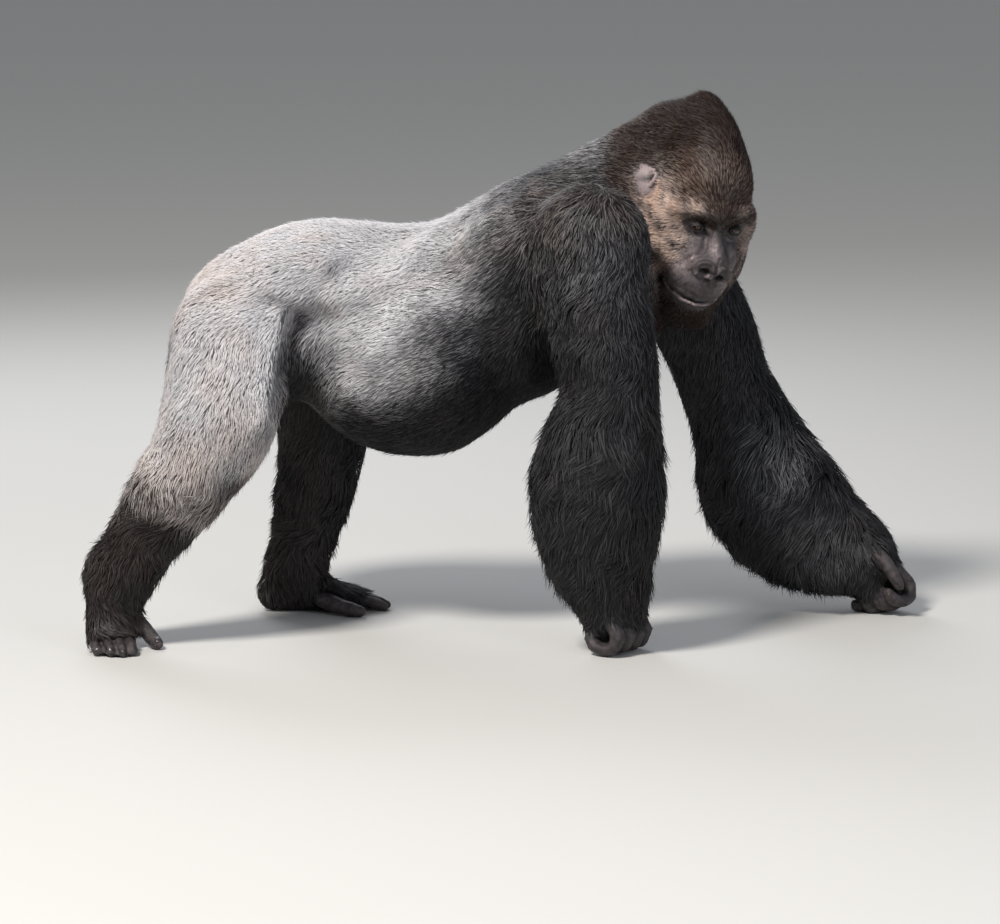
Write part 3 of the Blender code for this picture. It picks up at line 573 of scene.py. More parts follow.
for radius, depth in ((0.0200, -0.0014), (0.0250, -0.0010), (0.0310, -0.0007)):
    crease(ring(EYE + np.array([0.012, 0, 0]), radius, radius * 0.78, (205, 335), 0.1, 6), 0.0036, depth)
for height in (0.010, 0.017, 0.024):
    crease([(0.112, 0.013, height + 0.002), (0.114, 0.005, height), (0.114, 0, height)], 0.0034, -0.0012)
for k in range(6):
    y = 0.006 + 0.0085 * k
    crease([(0.166 - 0.10 * y, y, -0.098), (0.164 - 0.20 * y, y * 1.10, -0.110),
            (0.160 - 0.3 * y, y * 1.2, -0.121)], 0.0026, -0.0005)
for k in range(7):
    y = 0.010 + 0.009 * k
    crease([(0.115 - 0.2 * y, y, 0.024), (0.118 - 0.2 * y, y + 0.003, 0.036), (0.112 - 0.2 * y, y + 0.004, 0.048)],
           0.0048, -0.0013)
for k in range(4):
    crease([(0.118, 0.050 + 0.004 * k, -0.050 - 0.012 * k), (0.110, 0.060 + 0.003 * k, -0.049 - 0.014 * k),
            (0.100, 0.069, -0.050 - 0.015 * k)], 0.0040, -0.0006)
clay.refresh()

# %% [markdown]
# ## Ears
#
# A gorilla's ear is small, set high and close to the head: a rolled rim round a hollow, with a small flap in front
# of the ear hole.

# %% Ears
def ear_ring(across, up, sweep, steps=9):
    angles = np.radians(np.linspace(sweep[0], sweep[1], steps))
    return [(EAR[0] + across * math.cos(a), EAR[1], EAR[2] + up * math.sin(a)) for a in angles]


clay.grab(EAR, 0.021, (0, -0.015, 0), (0.80, 2.2, 1.15))
clay.refresh()
clay.line(ear_ring(0.017, 0.024, (-50, 250), 12), 0.0060, 0.0050)
clay.refresh()
clay.line(ear_ring(0.007, 0.013, (60, 265)), 0.0045, 0.0050)
clay.grab(EAR + np.array([0.008, 0, -0.006]), 0.008, (0, 0.006, 0))
clay.refresh()

# %% [markdown]
# ## What makes this face its own
#
# No living face is even. Here the nose and mouth turn a little about the way the face looks, the left side down, and
# the chin sits to the right. The left ear lies flatter than the right. The same move is made on the even net that the
# coat is planted on. The places before it are kept, because the markings follow the face's own features.

# %% Lean of the lower face
LEAN = 0.11              # sideways run per drop
TWIST = math.radians(23)
TWIST_MIDDLE = np.array([0.150, 0, -0.072])


def uneven(local):
    """Points of the head after the turn of the muzzle, the lean of the jaw and the set of the ears."""
    moved = local.copy()
    off = local - TWIST_MIDDLE
    upward = np.where(off[:, 2] > 0, 1.9, 1.0)
    away = np.sqrt((0.6 * off[:, 0]) ** 2 + off[:, 1] ** 2 + (upward * off[:, 2]) ** 2)
    turn = TWIST * falloff(away, 0.115)
    moved[:, 1] += off[:, 1] * (np.cos(turn) - 1) + off[:, 2] * np.sin(turn)
    moved[:, 2] += off[:, 2] * (np.cos(turn) - 1) - off[:, 1] * np.sin(turn)
    lower_face = 1 - smooth_step(np.linalg.norm(local - [0.09, 0, -0.08], axis=1), 0.11, 0.16)
    drop = np.clip(-0.015 - local[:, 2], 0, 0.16)
    moved[:, 1] -= LEAN * drop * smooth_step(local[:, 0], 0.03, 0.09) * lower_face
    side = folded(local)
    moved[:, 1] *= 1 - 0.12 * falloff(np.linalg.norm(side - [0.085, 0.075, -0.038], axis=1), 0.055)
    ear = smooth_step(side[:, 1], 0.086, 0.104) * falloff(np.linalg.norm((side - EAR) * [1, 0.4, 1], axis=1), 0.075)
    moved -= (0.30 * ear)[:, None] * (side - EAR) * [1, 0, 1]
    moved[:, 1] -= 0.015 * ear * (local[:, 1] > 0)
    return moved


rest_local = clay.local.copy()
net_rest = to_head(points_of(smooth_skin))
clay.local = uneven(clay.local)
on_nose = falloff(np.linalg.norm((folded(rest_local) - NOSTRIL) * [0.7, 1, 1], axis=1), 0.030)
clay.local = averaged(clay.local, edges_of(melted), 3, 0.5 * on_nose)      # irons out what the strokes crumpled
clay.refresh()
set_points(smooth_skin, from_head(uneven(net_rest)))

# %% [markdown]
# ## Lids
#
# A lid is a fold of skin wrapped over the eyeball. The points near each eye are therefore moved to a set distance
# from the eyeball's middle: just outside the ball where there is lid, well behind its surface inside the opening.
# The opening is an almond, given as angles seen from the eye's middle.

# %% Wrap the lids round the eyes
OPEN_WIDTH = math.radians(50)
OPEN_UP = math.radians(17)
OPEN_DOWN = math.radians(20)
LID = 0.0019             # thickness of a lid
LID_EDGE = 0.0007        # and of its edge
OUTER_CORNER = math.radians(4)      # the opening is turned outwards by this much
SLANT = 0.10             # and rises towards that corner
SNAP = 0.11              # how near the opening's edge, in radians, a point is drawn onto it


def wrap_lids(points, middle, side):
    """Moves the points near one eye onto its lids, or behind the eyeball inside the opening."""
    out = points - middle
    distance = np.linalg.norm(out, axis=1)
    off_axis = np.hypot(out[:, 1], out[:, 2])
    front = np.sqrt(np.clip(EYE_RADIUS**2 - off_axis**2, 0, None))
    pressed = 1 - smooth_step(off_axis, 0.90 * EYE_RADIUS, 1.35 * EYE_RADIUS)
    out[:, 0] += pressed * np.maximum(front - out[:, 0], 0)
    points = out + middle
    turn = np.arctan2(out[:, 1], out[:, 0]) * side - OUTER_CORNER
    lift = np.arctan2(out[:, 2], np.hypot(out[:, 0], out[:, 1])) + SLANT * turn
    height = np.sqrt(np.clip(1 - (turn / OPEN_WIDTH) ** 2, 0, None))
    height = np.where(lift > 0, OPEN_UP, OPEN_DOWN) * height
    beyond = np.where(np.abs(turn) < OPEN_WIDTH, np.abs(lift) - height,
                      np.hypot(np.abs(turn) - OPEN_WIDTH, lift))
    snapped = (np.abs(beyond) < SNAP / 2) & (np.abs(turn) < OPEN_WIDTH)
    lift = np.where(snapped, np.sign(lift) * height, lift) - SLANT * turn
    beyond = np.where(snapped, 0.0, beyond)
    turn = (turn + OUTER_CORNER) * side
    direction = np.stack([np.cos(lift) * np.cos(turn), np.cos(lift) * np.sin(turn), np.sin(lift)], 1)
    roll = 0.0011 * np.exp(-((beyond - 0.14) / 0.10) ** 2)
    wanted = np.where(beyond < -SNAP / 2, EYE_RADIUS - 0.0040, EYE_RADIUS + LID_EDGE + roll
                      + (LID - LID_EDGE) * smooth_step(beyond, 0, 0.10))
    grip = (1 - smooth_step(beyond, 0.25, 0.80)) * (out[:, 0] > -0.004) * (distance < 0.032)
    return points + grip[:, None] * (middle + direction * wanted[:, None] - points)


for side, name in ((1, "left"), (-1, "right")):
    eye_middle = to_head(np.array(eye_middles[name])[None])[0]
    near_eye = clay.near[np.linalg.norm(clay.local[clay.near] - eye_middle, axis=1) < 0.034]
    clay.local[near_eye] = wrap_lids(clay.local[near_eye], eye_middle, side)
clay.refresh()

# %% [markdown]
# The even net is laid on the sculpted head, so that the coat is planted on the brow and chin as they now are.

# %% Lay the even net on the sculpted head
sculpted = tree_of(melted)
settled = points_of(smooth_skin)
for k in np.flatnonzero(np.linalg.norm(net_rest - [0.05, 0, -0.02], axis=1) < 0.22):
    place, _, _, distance = sculpted.find_nearest(settled[k].tolist())
    if distance < 0.016:
        settled[k] = place
set_points(smooth_skin, settled)

# %% [markdown]
# ## Markings
#
# A grown male's saddle, hips and thighs are silver. The silver ends behind the shoulder, along the belly's lower edge
# and above the knee, and every edge is ragged, because it is a matter of how many hairs are grey. The crest and cheeks
# are red-brown with pale, grizzled sideburns. Light is painted into these amounts as well: a sheen on the near
# shoulder and a highlight on the brow, and shade in the fold before each thigh, on the far leg and on the far cheek.
# One function gives both amounts at any place, so that the skin and the hairs that grow there agree.

# %% Where the coat is silver and where it is brown
BACK_EDGE = 0.035        # how far forward the silver reaches at the top of the back
BACK_TOP = 0.955


def wander(places, size, seed):
    """Smooth values, mostly between -1 and 1, that rise and fall over about that distance."""
    waves = np.random.default_rng(seed)
    total = np.zeros(len(places))
    for _ in range(6):
        way = waves.normal(size=3)
        way *= 2 * math.pi / size * waves.uniform(0.5, 1.5) / np.linalg.norm(way)
        total += np.sin(places @ way + waves.uniform(0, 6.28))
    return total / 2.4


def blob(places, centre, radii):
    return np.exp(-(((places - np.array(centre)) / np.array(radii)) ** 2).sum(1))


def silver_at(places):
    """How grey the coat is, 0 to 1, with a painted sheen on the near shoulder and painted shade in the fold before
    each thigh and on the far leg.
    """
    x, y, z = places.T
    ragged = 0.022 * wander(places, 0.16, 1) + 0.012 * wander(places, 0.05, 2)
    behind = 1 - smooth_step(x - (BACK_EDGE + (z - BACK_TOP) * 0.50) + ragged, -0.15, 0.09)
    under_belly = smooth_step(z + ragged, 0.43, 0.57)
    # Painted shade: the far (left) leg keeps less silver than the near one.
    outer_side = smooth_step(np.abs(y - 0.010) + 0.5 * ragged - 0.07 * (y > 0), 0.15, 0.21)
    down_thigh = smooth_step(z + 1.5 * ragged, 0.25, 0.43) * np.maximum(outer_side, smooth_step(z, 0.55, 0.68))
    on_thigh = smooth_step(-x, 0.30, 0.40)
    grey = behind * (under_belly + (down_thigh - under_belly) * on_thigh)
    # Painted shade: the hair in the fold before each thigh loses its silver.
    fold = (np.array(THIGH_FOLD) + [0.008, 0, 0]) * SIDE_VIEW
    grey *= 1 - falloff(distance_to_line(folded(places) * SIDE_VIEW, fold), 0.036)
    # The first blob is a painted sheen of light on the near (right) shoulder; the other two are a grey patch on the
    # left forearm and a grizzled grey nape.
    sheen = 0.08 * blob(places, (0.15, -0.18, 0.86), (0.20, 0.16, 0.13))
    sheen += 0.42 * blob(places, (0.585, 0.13, 0.36), (0.045, 0.10, 0.06))
    sheen += 0.42 * blob(places, (0.18, -0.02, 1.03), (0.15, 0.12, 0.060))
    return np.clip(np.maximum(grey * (0.92 + 0.08 * wander(places, 0.10, 3)), 0.01 + sheen), 0, 1)


def sideburn_at(local):
    """How pale and grizzled the cheek is, in head axes, with a painted highlight on the brow and painted shade on the
    far cheek.
    """
    side = folded(local)
    # The last blob is a painted highlight on the brow ridge.
    pale = (1.05 * blob(side, (0.005, 0.100, 0.000), (0.045, 0.050, 0.060))
            + 1.05 * blob(side, (0.062, 0.086, 0.012), (0.042, 0.040, 0.040))
            + 0.90 * blob(side, (0.085, 0.080, -0.045), (0.050, 0.040, 0.045))
            + 0.70 * blob(side, (0.100, 0.072, -0.100), (0.055, 0.040, 0.045))
            + 0.75 * blob(side, (0.113, 0.053, 0.044), (0.030, 0.016, 0.009)))
    # Painted shade: the far cheek is made less pale.
    far_cheek_shade = 0.45 * smooth_step(local[:, 1], 0.01, 0.06)
    grizzled = 0.78 + 0.40 * wander(local, 0.040, 6) + 0.12 * wander(local, 0.014, 7)
    return np.clip(pale * (1 - far_cheek_shade) * grizzled, 0, 1)


def brown_at(places, on_head):
    """How brown the coat is, 0 to 1, with a painted sheen on the near shoulder."""
    local = to_head(places)
    forehead = blob(local, (0.08, 0, 0.085), (0.06, 0.09, 0.06))
    thigh = 0.35 * smooth_step(0.60 - places[:, 2], 0, 0.25) * smooth_step(-places[:, 0], 0.30, 0.42)
    # Painted sheen: a brownish gleam of light on the near (right) shoulder.
    shoulder = 0.45 * blob(places, (0.14, -0.19, 0.90), (0.15, 0.13, 0.09))
    rump = 0.28 * blob(places, (-0.62, 0, 0.74), (0.12, 0.4, 0.13))
    head = on_head * np.clip(0.45 + 0.45 * forehead + 0.5 * sideburn_at(local), 0, 1)
    return np.clip(np.maximum(head, thigh + shoulder + rump) + 0.10 * wander(places, 0.08, 4), 0, 1)


def markings(places, on_head):
    """Silver and brown amounts, the pair that every colour is mixed from."""
    local = to_head(places)
    forehead = blob(local, (0.07, 0, 0.095), (0.06, 0.07, 0.05))
    on_top = 0.01 + 0.90 * sideburn_at(local) + 0.13 * forehead
    silver = silver_at(places) * (1 - on_head) + on_head * on_top
    return np.clip(np.stack([silver, brown_at(places, on_head)], 1), 0, 1)


net_points, net_normals = points_of(smooth_skin), normals_of(smooth_skin)
net_tree = tree_of(smooth_skin)
head_mask = averaged(np.isin(point_owner, ["head", "jaw", "ear_left", "ear_right", "eye_left", "eye_right"])
                     [:, None].astype(float), skin_edges, 24)[:, 0]
nape = smooth_step(to_head(net_points)[:, 0], -0.20, -0.09)
head_mask = head_mask * nape
print("silver points", round(float((markings(net_points, head_mask)[:, 0] > 0.5).mean()), 2))

# %% [markdown]
# ## Finishes
#
# A colour is written as the hex value a painter would pick and turned to linear light once. `add` puts one node in a
# material with its settings and its links, so each recipe reads from top to bottom.

# %% Colour and node helpers
def linear(hex_colour):
    """Hex sRGB to a linear colour."""
    parts = [int(hex_colour[k : k + 2], 16) / 255 for k in (1, 3, 5)]
    return tuple(c / 12.92 if c <= 0.04045 else ((c + 0.055) / 1.055) ** 2.4 for c in parts) + (1.0,)


def add(material, kind, links=None, settings=None, **values):
    """One node: values go to its own options, settings to its sockets, links join sockets to other nodes."""
    node = material.node_tree.nodes.new(kind)
    for name, value in values.items():
        setattr(node, name, value)
    for socket, value in (settings or {}).items():
        node.inputs[socket].default_value = value
    for socket, source in (links or {}).items():
        material.node_tree.links.new(node.inputs[socket], source)
    return node


def new_material(name):
    made = bpy.data.materials.new(name)
    made.use_nodes = True
    made.node_tree.nodes.clear()
    return made


def finish_with(material, shader):
    add(material, "ShaderNodeOutputMaterial", {"Surface": shader.outputs[0]})
    return material


def blend_colour(material, share, a, b, blend_type="MIX"):
    """A colour mix; a and b are hex colours or sockets of other nodes."""
    node = add(material, "ShaderNodeMix", data_type="RGBA", blend_type=blend_type)
    for slot_index, value in ((0, share), (6, a), (7, b)):
        if isinstance(value, bpy.types.NodeSocket):
            material.node_tree.links.new(node.inputs[slot_index], value)
        else:
            node.inputs[slot_index].default_value = linear(value) if isinstance(value, str) else value
    return node.outputs[2]


MM = 1000.0              # a scale of 1 / size in metres: so 2.5 mm grain is MM / 2.5


def noise(material, where, grain_mm, detail):
    return add(material, "ShaderNodeTexNoise", {"Vector": where}, {"Scale": MM / grain_mm, "Detail": detail})


def ranged(material, value, **ends):
    """A value moved to another range; the ends are From Min, From Max, To Min and To Max, 0 and 1 unless given."""
    settings = {name.replace("_", " "): end for name, end in ends.items()}
    return add(material, "ShaderNodeMapRange", {"Value": value}, settings).outputs[0]


def tone_parts(material):
    """The four amounts written on a mesh: silver (painted shade where the skin is bare), brown, a third one, and a
    fourth that is random on the coat and is the skin's paler tone with its painted highlights.
    """
    tone = add(material, "ShaderNodeAttribute", attribute_name="coat_tone")
    parts = add(material, "ShaderNodeSeparateColor", {"Color": tone.outputs["Color"]})
    return *parts.outputs, tone.outputs["Alpha"]


# %% [markdown]
# Hair is keratin round a core of pigment. Black hair looks blue-black in soft light, grey hair has lost its pigment
# and scatters light, and brown hair is rust-red at its tips. Roots sit in shade and are darker. Each tuft differs a
# little from the next.

# %% Hair
def hair(name, roughness, sheen=0.22, dark="#151518", brown="#2b201b", silver="#bdbcbf", beige="#c2ab9b"):
    made = new_material(name)
    silver_share, brown_share, along, own_random = tone_parts(made)
    shade = blend_colour(made, brown_share, dark, brown)
    light = blend_colour(made, brown_share, silver, beige)
    own = blend_colour(made, silver_share, shade, light)
    root = ranged(made, along, To_Min=0.72, To_Max=1.06)
    strand = ranged(made, own_random, To_Min=0.86, To_Max=1.14)
    level = add(made, "ShaderNodeMath", {0: root, 1: strand}, operation="MULTIPLY")
    grey = add(made, "ShaderNodeCombineColor", {k: level.outputs[0] for k in ("Red", "Green", "Blue")})
    colour = blend_colour(made, 1.0, own, grey.outputs[0], "MULTIPLY")
    shader = add(made, "ShaderNodeBsdfPrincipled", {"Base Color": colour},
                 {"Roughness": roughness, "IOR": 1.55, "Specular IOR Level": sheen})
    return finish_with(made, shader)


HAIR_SHORT = hair("gorilla hair, short and dense", 0.62)
HAIR_LONG = hair("gorilla hair, long and shaggy", 0.55)
HAIR_FACE = hair("gorilla hair, fine on head and cheeks", 0.65, sheen=0.08, dark="#110d0c",
                 brown="#2c1c15", beige="#c0a595")

# %% [markdown]
# Bare gorilla skin is grey-black and leathery, cracked in small cells, with a low sheen. Where it is stretched, on the
# nose and the lips, that sheen is painted into the colour as paler highlights, and on the brow the highlight is
# painted into the hair. The hollows of the eyes, the nostrils, the mouth and the ears are painted darker for their
# shade. Under the coat it takes the coat's own colour, darkened, as the close short hair does that is too fine to make
# one by one.

# %% Skin
def bare_skin():
    made = new_material("gorilla skin, grey-black and leathery")
    where = add(made, "ShaderNodeTexCoord").outputs["Object"]
    silver_share, brown_share, hairy, pale_and_highlight_share = tone_parts(made)
    shade = blend_colour(made, brown_share, "#111113", "#231a16")
    light = blend_colour(made, brown_share, "#a3a2a5", "#9c887b")
    under = blend_colour(made, silver_share, shade, light)
    mottled = ranged(made, noise(made, where, 9, 5.0).outputs["Fac"], From_Min=0.32, From_Max=0.68)
    face = blend_colour(made, mottled, "#1b1718", "#473e40")
    # On bare skin the first amount is painted shade, which darkens the face towards near black.
    face = blend_colour(made, silver_share, face, "#0b0909")
    # The fourth amount lightens the skin to a pinkish grey: its paler parts, and highlights painted on the nose, the
    # lips and the folds beside the nose.
    pale_skin_and_highlight = blend_colour(made, pale_and_highlight_share, face, "#b8a6a6")
    strayed = noise(made, where, 4, 3.0)
    bent = add(made, "ShaderNodeMix", {4: where, 5: strayed.outputs["Color"]}, {0: 0.004}, data_type="VECTOR")
    cells = add(made, "ShaderNodeTexVoronoi", {"Vector": bent.outputs[1]}, {"Scale": MM / 1.7},
                feature="DISTANCE_TO_EDGE")
    crack = ranged(made, cells.outputs["Distance"], From_Max=0.22, To_Min=0.70)
    bare = blend_colour(made, crack, "#131113", pale_skin_and_highlight)
    colour = blend_colour(made, hairy, bare, under)
    strands = add(made, "ShaderNodeMapping", {"Vector": where}, {"Scale": (MM / 1.6, MM / 1.6, MM / 12)})
    nap = add(made, "ShaderNodeTexNoise", {"Vector": strands.outputs[0]}, {"Scale": 1.0, "Detail": 2.0})
    pores = noise(made, where, 1.1, 3.0)
    leather = add(made, "ShaderNodeMath", {0: crack, 1: pores.outputs["Fac"]}, operation="ADD")
    relief = add(made, "ShaderNodeMix", {0: hairy, 2: leather.outputs[0], 3: nap.outputs["Fac"]})
    bump = add(made, "ShaderNodeBump", {"Height": relief.outputs[0]}, {"Strength": 0.60, "Distance": 0.0010})
    rough = ranged(made, pores.outputs["Fac"], To_Min=0.38, To_Max=0.56)
    shader = add(made, "ShaderNodeBsdfPrincipled",
                 {"Base Color": colour, "Normal": bump.outputs[0], "Roughness": rough}, {"IOR": 1.45})
    return finish_with(made, shader)


SKIN = bare_skin()


def set_tone(mesh, values):
    """Writes the four amounts a finish reads: silver (painted shade where the skin is bare), brown, a third one, and a
    fourth that is random on the coat and is the skin's paler tone with its painted highlights.
    """
    tone = mesh.color_attributes.new("coat_tone", "FLOAT_COLOR", "POINT")
    tone.data.foreach_set("color", np.asarray(values, np.float32).ravel())


def spread_to(points, values):
    """Values of the even net's points, read at other points."""
    faces = array_of(smooth_skin.polygons, "loop_start", 1, np.int32)[:, 0]
    corner = array_of(smooth_skin.loops, "vertex_index", 1, np.int32)[:, 0]
    found = np.array([net_tree.find_nearest(point)[2] for point in points.tolist()])
    return values[corner[faces[found]]]


skin_points = points_of(melted)
hair_length = spread_to(skin_points, np.column_stack([coat[:, 0], head_mask]))
hairy = smooth_step(hair_length[:, 0], 1.0, 7.0) * (1 - 0.92 * face_amount(rest_local))
both_sides = folded(rest_local)


def along(stops, width):
    return falloff(distance_to_line(both_sides, np.array(stops)), width)


# Pinkish grey on the bare skin: painted highlights along the nostril rims, the top of the lower lip, the folds beside
# the nose, the middle line of the nose and a patch on its bridge. Paler in their own colour are the sides of the
# muzzle, a ring under each eye and the ears.
pale_skin_and_highlight = (0.62 * along(WING, 0.0062) + 0.95 * along(MOUTH - [0, 0, 0.0060], 0.0058)
        + 0.75 * along([(0.118, 0.046, -0.034), (0.130, 0.043, -0.050), (0.136, 0.041, -0.066)], 0.0050)
        + 0.70 * along([(0.140, 0.006, -0.036), (0.158, 0.006, -0.056), (0.166, 0.006, -0.076)], 0.0040)
        + 0.60 * blob(rest_local, (0.134, -0.005, -0.028), (0.03, 0.011, 0.018))
        + 0.42 * blob(both_sides, (0.115, 0.062, -0.080), (0.04, 0.028, 0.040))
        + 0.30 * along(ring(EYE + np.array([0.012, 0, -0.002]), 0.023, 0.018, (200, 340), 0.1), 0.006))
pale_skin_and_highlight *= 0.8 + 0.3 * wander(rest_local, 0.008, 8)
pale_skin_and_highlight = np.clip(pale_skin_and_highlight + 0.75 * blob(both_sides, EAR + [0, 0.01, 0], (0.05, 0.03, 0.06)), 0, 1)
marks = markings(skin_points, hair_length[:, 1])
# Painted shade: the eye sockets under the brow, the nostrils, the line of the mouth and the hollow of each ear are
# darkened in colour. The chin and a patch above the middle of the brow are darker too.
shade = np.clip(1.1 * blob(both_sides, EYE + [0.008, 0, 0.005], (0.03, 0.024, 0.016))
                + 1.0 * blob(both_sides, NOSTRIL - [0.006, 0, 0], (0.02, 0.010, 0.009))
                + 0.8 * along(MOUTH, 0.0035) + 0.95 * blob(both_sides, EAR + [0.002, 0, -0.002], (0.009, 0.05, 0.015))
                + 0.5 * blob(rest_local, (0.14, 0, -0.175), (0.05, 0.06, 0.026))
                + 1.0 * blob(rest_local, (0.125, 0, 0.065), (0.05, 0.045, 0.030)), 0, 1)
pale_skin_and_highlight *= 1 - shade
shade = np.maximum(shade, 0.10 * (1 - hair_length[:, 1]))          # hands and feet are a little blacker
# Where the skin is bare, the first amount carries this darkness in place of silver.
marks[:, 0] = marks[:, 0] * hairy + shade * (1 - hairy)
set_tone(melted, np.column_stack([marks, hairy, pale_skin_and_highlight]))
melted.materials.clear()
melted.materials.append(SKIN)
melted.shade_smooth()
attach(skin, "root")
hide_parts(*[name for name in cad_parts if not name.startswith("eye")])
print("skin done, bare share", round(float((hairy < 0.3).mean()), 2))

# %% [markdown]
# ## Eyes
#
# A gorilla's eye is small and dark: a black pupil, a red-brown iris, and white of the eye that is itself dark brown.
# The clear front bulges, and a film of tears gives the sharp glint that makes the eye look alive. The ball is turned
# so that its rings run round the line of sight.

# %% Eyeballs
IRIS_EDGE = math.radians(29)
PUPIL_EDGE = math.radians(11)
GAZE = Vector((1, -0.16, 0.10)).normalized()      # in head axes: level, and a little to its right


def eye_finish():
    made = new_material("living eye, red-brown iris under a film of tears")
    angle = add(made, "ShaderNodeAttribute", attribute_name="off_sight")
    where = add(made, "ShaderNodeTexCoord").outputs["Object"]
    streak = noise(made, where, 1.3, 3.0)
    iris = blend_colour(made, streak.outputs["Fac"], "#190907", "#552619")
    ball = blend_colour(made, streak.outputs["Fac"], "#160e0c", "#33241e")
    off_iris = ranged(made, angle.outputs["Fac"], From_Min=IRIS_EDGE - 0.04, From_Max=IRIS_EDGE + 0.02)
    off_pupil = ranged(made, angle.outputs["Fac"], From_Min=PUPIL_EDGE - 0.02, From_Max=PUPIL_EDGE + 0.03)
    colour = blend_colour(made, off_iris, iris, ball)
    colour = blend_colour(made, off_pupil, "#030202", colour)
    shader = add(made, "ShaderNodeBsdfPrincipled", {"Base Color": colour},
                 {"Roughness": 0.22, "IOR": 1.38, "Coat Weight": 1.0, "Coat Roughness": 0.02, "Coat IOR": 1.38})
    return finish_with(made, shader)


EYE_FINISH = eye_finish()


def eyeball(side):
    work = bmesh.new()
    bmesh.ops.create_uvsphere(work, u_segments=40, v_segments=36, radius=EYE_RADIUS)
    ball = bpy.data.meshes.new("eyeball_" + side)
    work.to_mesh(ball)
    work.free()
    own = points_of(ball)
    off_sight = np.arccos(np.clip(own[:, 2] / EYE_RADIUS, -1, 1))
    cornea = 0.0009 * np.clip(1 - (off_sight / IRIS_EDGE) ** 2, 0, None)
    own *= (1 + cornea / EYE_RADIUS)[:, None]
    sight = Vector(HEAD_AXES @ np.array(GAZE)).to_track_quat("Z", "Y").to_matrix()
    set_points(ball, own @ np.array(sight).T + np.array(eye_middles[side]))
    ball.attributes.new("off_sight", "FLOAT", "POINT").data.foreach_set("value", off_sight.astype(np.float32))
    ball.materials.append(EYE_FINISH)
    ball.shade_smooth()
    made = show("eyeball_" + side, ball)
    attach(made, "root")
    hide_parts("eye_" + side)


for side in ("left", "right"):
    eyeball(side)

# %% [markdown]
# ## Nails
#
# Gorillas have flat black nails like ours. Each is a small plate laid on the skin: a ray finds the skin under every
# point of a little grid, and the plate stands off it by its own thickness, most at its free edge.

# %% Nails
NAIL_THICK = 0.0011
NAIL, BIG_NAIL = 0.0125, 0.018      # length and width
skin_tree = tree_of(melted)


def nail_finish():
    made = new_material("nail, black keratin with lengthwise ridges")
    where = add(made, "ShaderNodeTexCoord").outputs["Object"]
    grain = noise(made, where, 0.9, 2.0)
    colour = blend_colour(made, grain.outputs["Fac"], "#141213", "#3a3331")
    bump = add(made, "ShaderNodeBump", {"Height": grain.outputs["Fac"]}, {"Strength": 0.3, "Distance": 0.0002})
    shader = add(made, "ShaderNodeBsdfPrincipled", {"Base Color": colour, "Normal": bump.outputs[0]},
                 {"Roughness": 0.34, "IOR": 1.54})
    return finish_with(made, shader)


NAIL_FINISH = nail_finish()


def nail_plate(place, facing, tipward, length, width):
    """Points and faces of one closed plate, or nothing where the ray misses the skin."""
    facing, tipward = unit(np.array(facing, float)), unit(np.array(tipward, float))
    tipward = unit(tipward - facing * (tipward @ facing))
    across = np.cross(facing, tipward)
    top, n = [], 6
    for i in range(n):
        for j in range(n):
            u, v = 2 * i / (n - 1) - 1, 2 * j / (n - 1) - 1
            spot = place + tipward * (u * length / 2 * (1 - 0.22 * v * v)) + across * (v * width / 2)
            hit = skin_tree.ray_cast(Vector(spot + facing * 0.03), Vector(-facing), 0.06)
            if hit[0] is None:
                return None
            top.append((np.array(hit[0]), u))
    middle = np.median([p @ facing for p, _ in top])
    points = []
    for lift in (1.0, -0.6):
        for p, u in top:
            drop = np.clip(p @ facing, middle - 0.0030, middle + 0.0015) - p @ facing
            points.append(p + facing * (drop + NAIL_THICK * lift * (1 + 0.5 * max(u, 0))))
    faces = []
    for i in range(n - 1):
        for j in range(n - 1):
            a, b, c, d = i * n + j, i * n + j + 1, (i + 1) * n + j + 1, (i + 1) * n + j
            faces += [(a, b, c, d), (n * n + d, n * n + c, n * n + b, n * n + a)]
    rim = [k for k in range(n)] + [k * n + n - 1 for k in range(1, n)]
    rim += [(n - 1) * n + k for k in range(n - 2, -1, -1)] + [k * n for k in range(n - 2, 0, -1)]
    for a, b in zip(rim, rim[1:] + rim[:1]):
        faces.append((b, a, n * n + a, n * n + b))
    return points, faces


nails = {}
for side, (place, hand) in HANDS.items():
    flip = 1 if side == "left" else -1
    spots = [((-0.021, flip * (row - 1.5) * FINGER_SPACING, 0.030), (-0.85, 0, -0.52), (-0.52, 0, 0.85))
             for row in range(4)]
    spots.append(((-0.029, flip * -0.074, 0.044), (-0.1, -flip, 0), (0.25, 0, -1)))
    nails["hand_" + side] = [(place + hand @ (HAND_SCALE * np.array(at)), hand @ np.array(face),
                              hand @ np.array(tip), NAIL, NAIL) for at, face, tip in spots]
for side, heading in HEADINGS.items():
    ahead = pointing(heading)
    for toe in TOES:
        end = toe_line(f"{toe}_{side}", ahead)[1]
        size = BIG_NAIL if toe == "big_toe" else NAIL
        nails.setdefault("foot_" + side, []).append((end - ahead * size * 0.75, np.array([0, 0, 1.0]) + 0.35 * ahead,
                                                     ahead, size, size))


def fitted_nail(place, facing, tipward, length, width):
    """The largest plate whose every ray meets the skin."""
    for share in (1.0, 0.85, 0.7, 0.55, 0.4):
        back = np.array(tipward) * (1 - share) * length * 0.4
        plate = nail_plate(place - back, facing, tipward, length * share, width * share)
        if plate:
            return plate


for limb, plates in nails.items():
    all_points, all_faces = [], []
    for plate in filter(None, (fitted_nail(*facts) for facts in plates)):
        all_faces += [tuple(k + len(all_points) for k in face) for face in plate[1]]
        all_points += [tuple(p) for p in plate[0]]
    mesh = bpy.data.meshes.new("nails_" + limb)
    mesh.from_pydata(all_points, [], all_faces)
    mesh.materials.append(NAIL_FINISH)
    mesh.shade_smooth()
    made = show("nails_" + limb, mesh)
    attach(made, "root")
    print("nails on", limb, len(all_points) // 72)

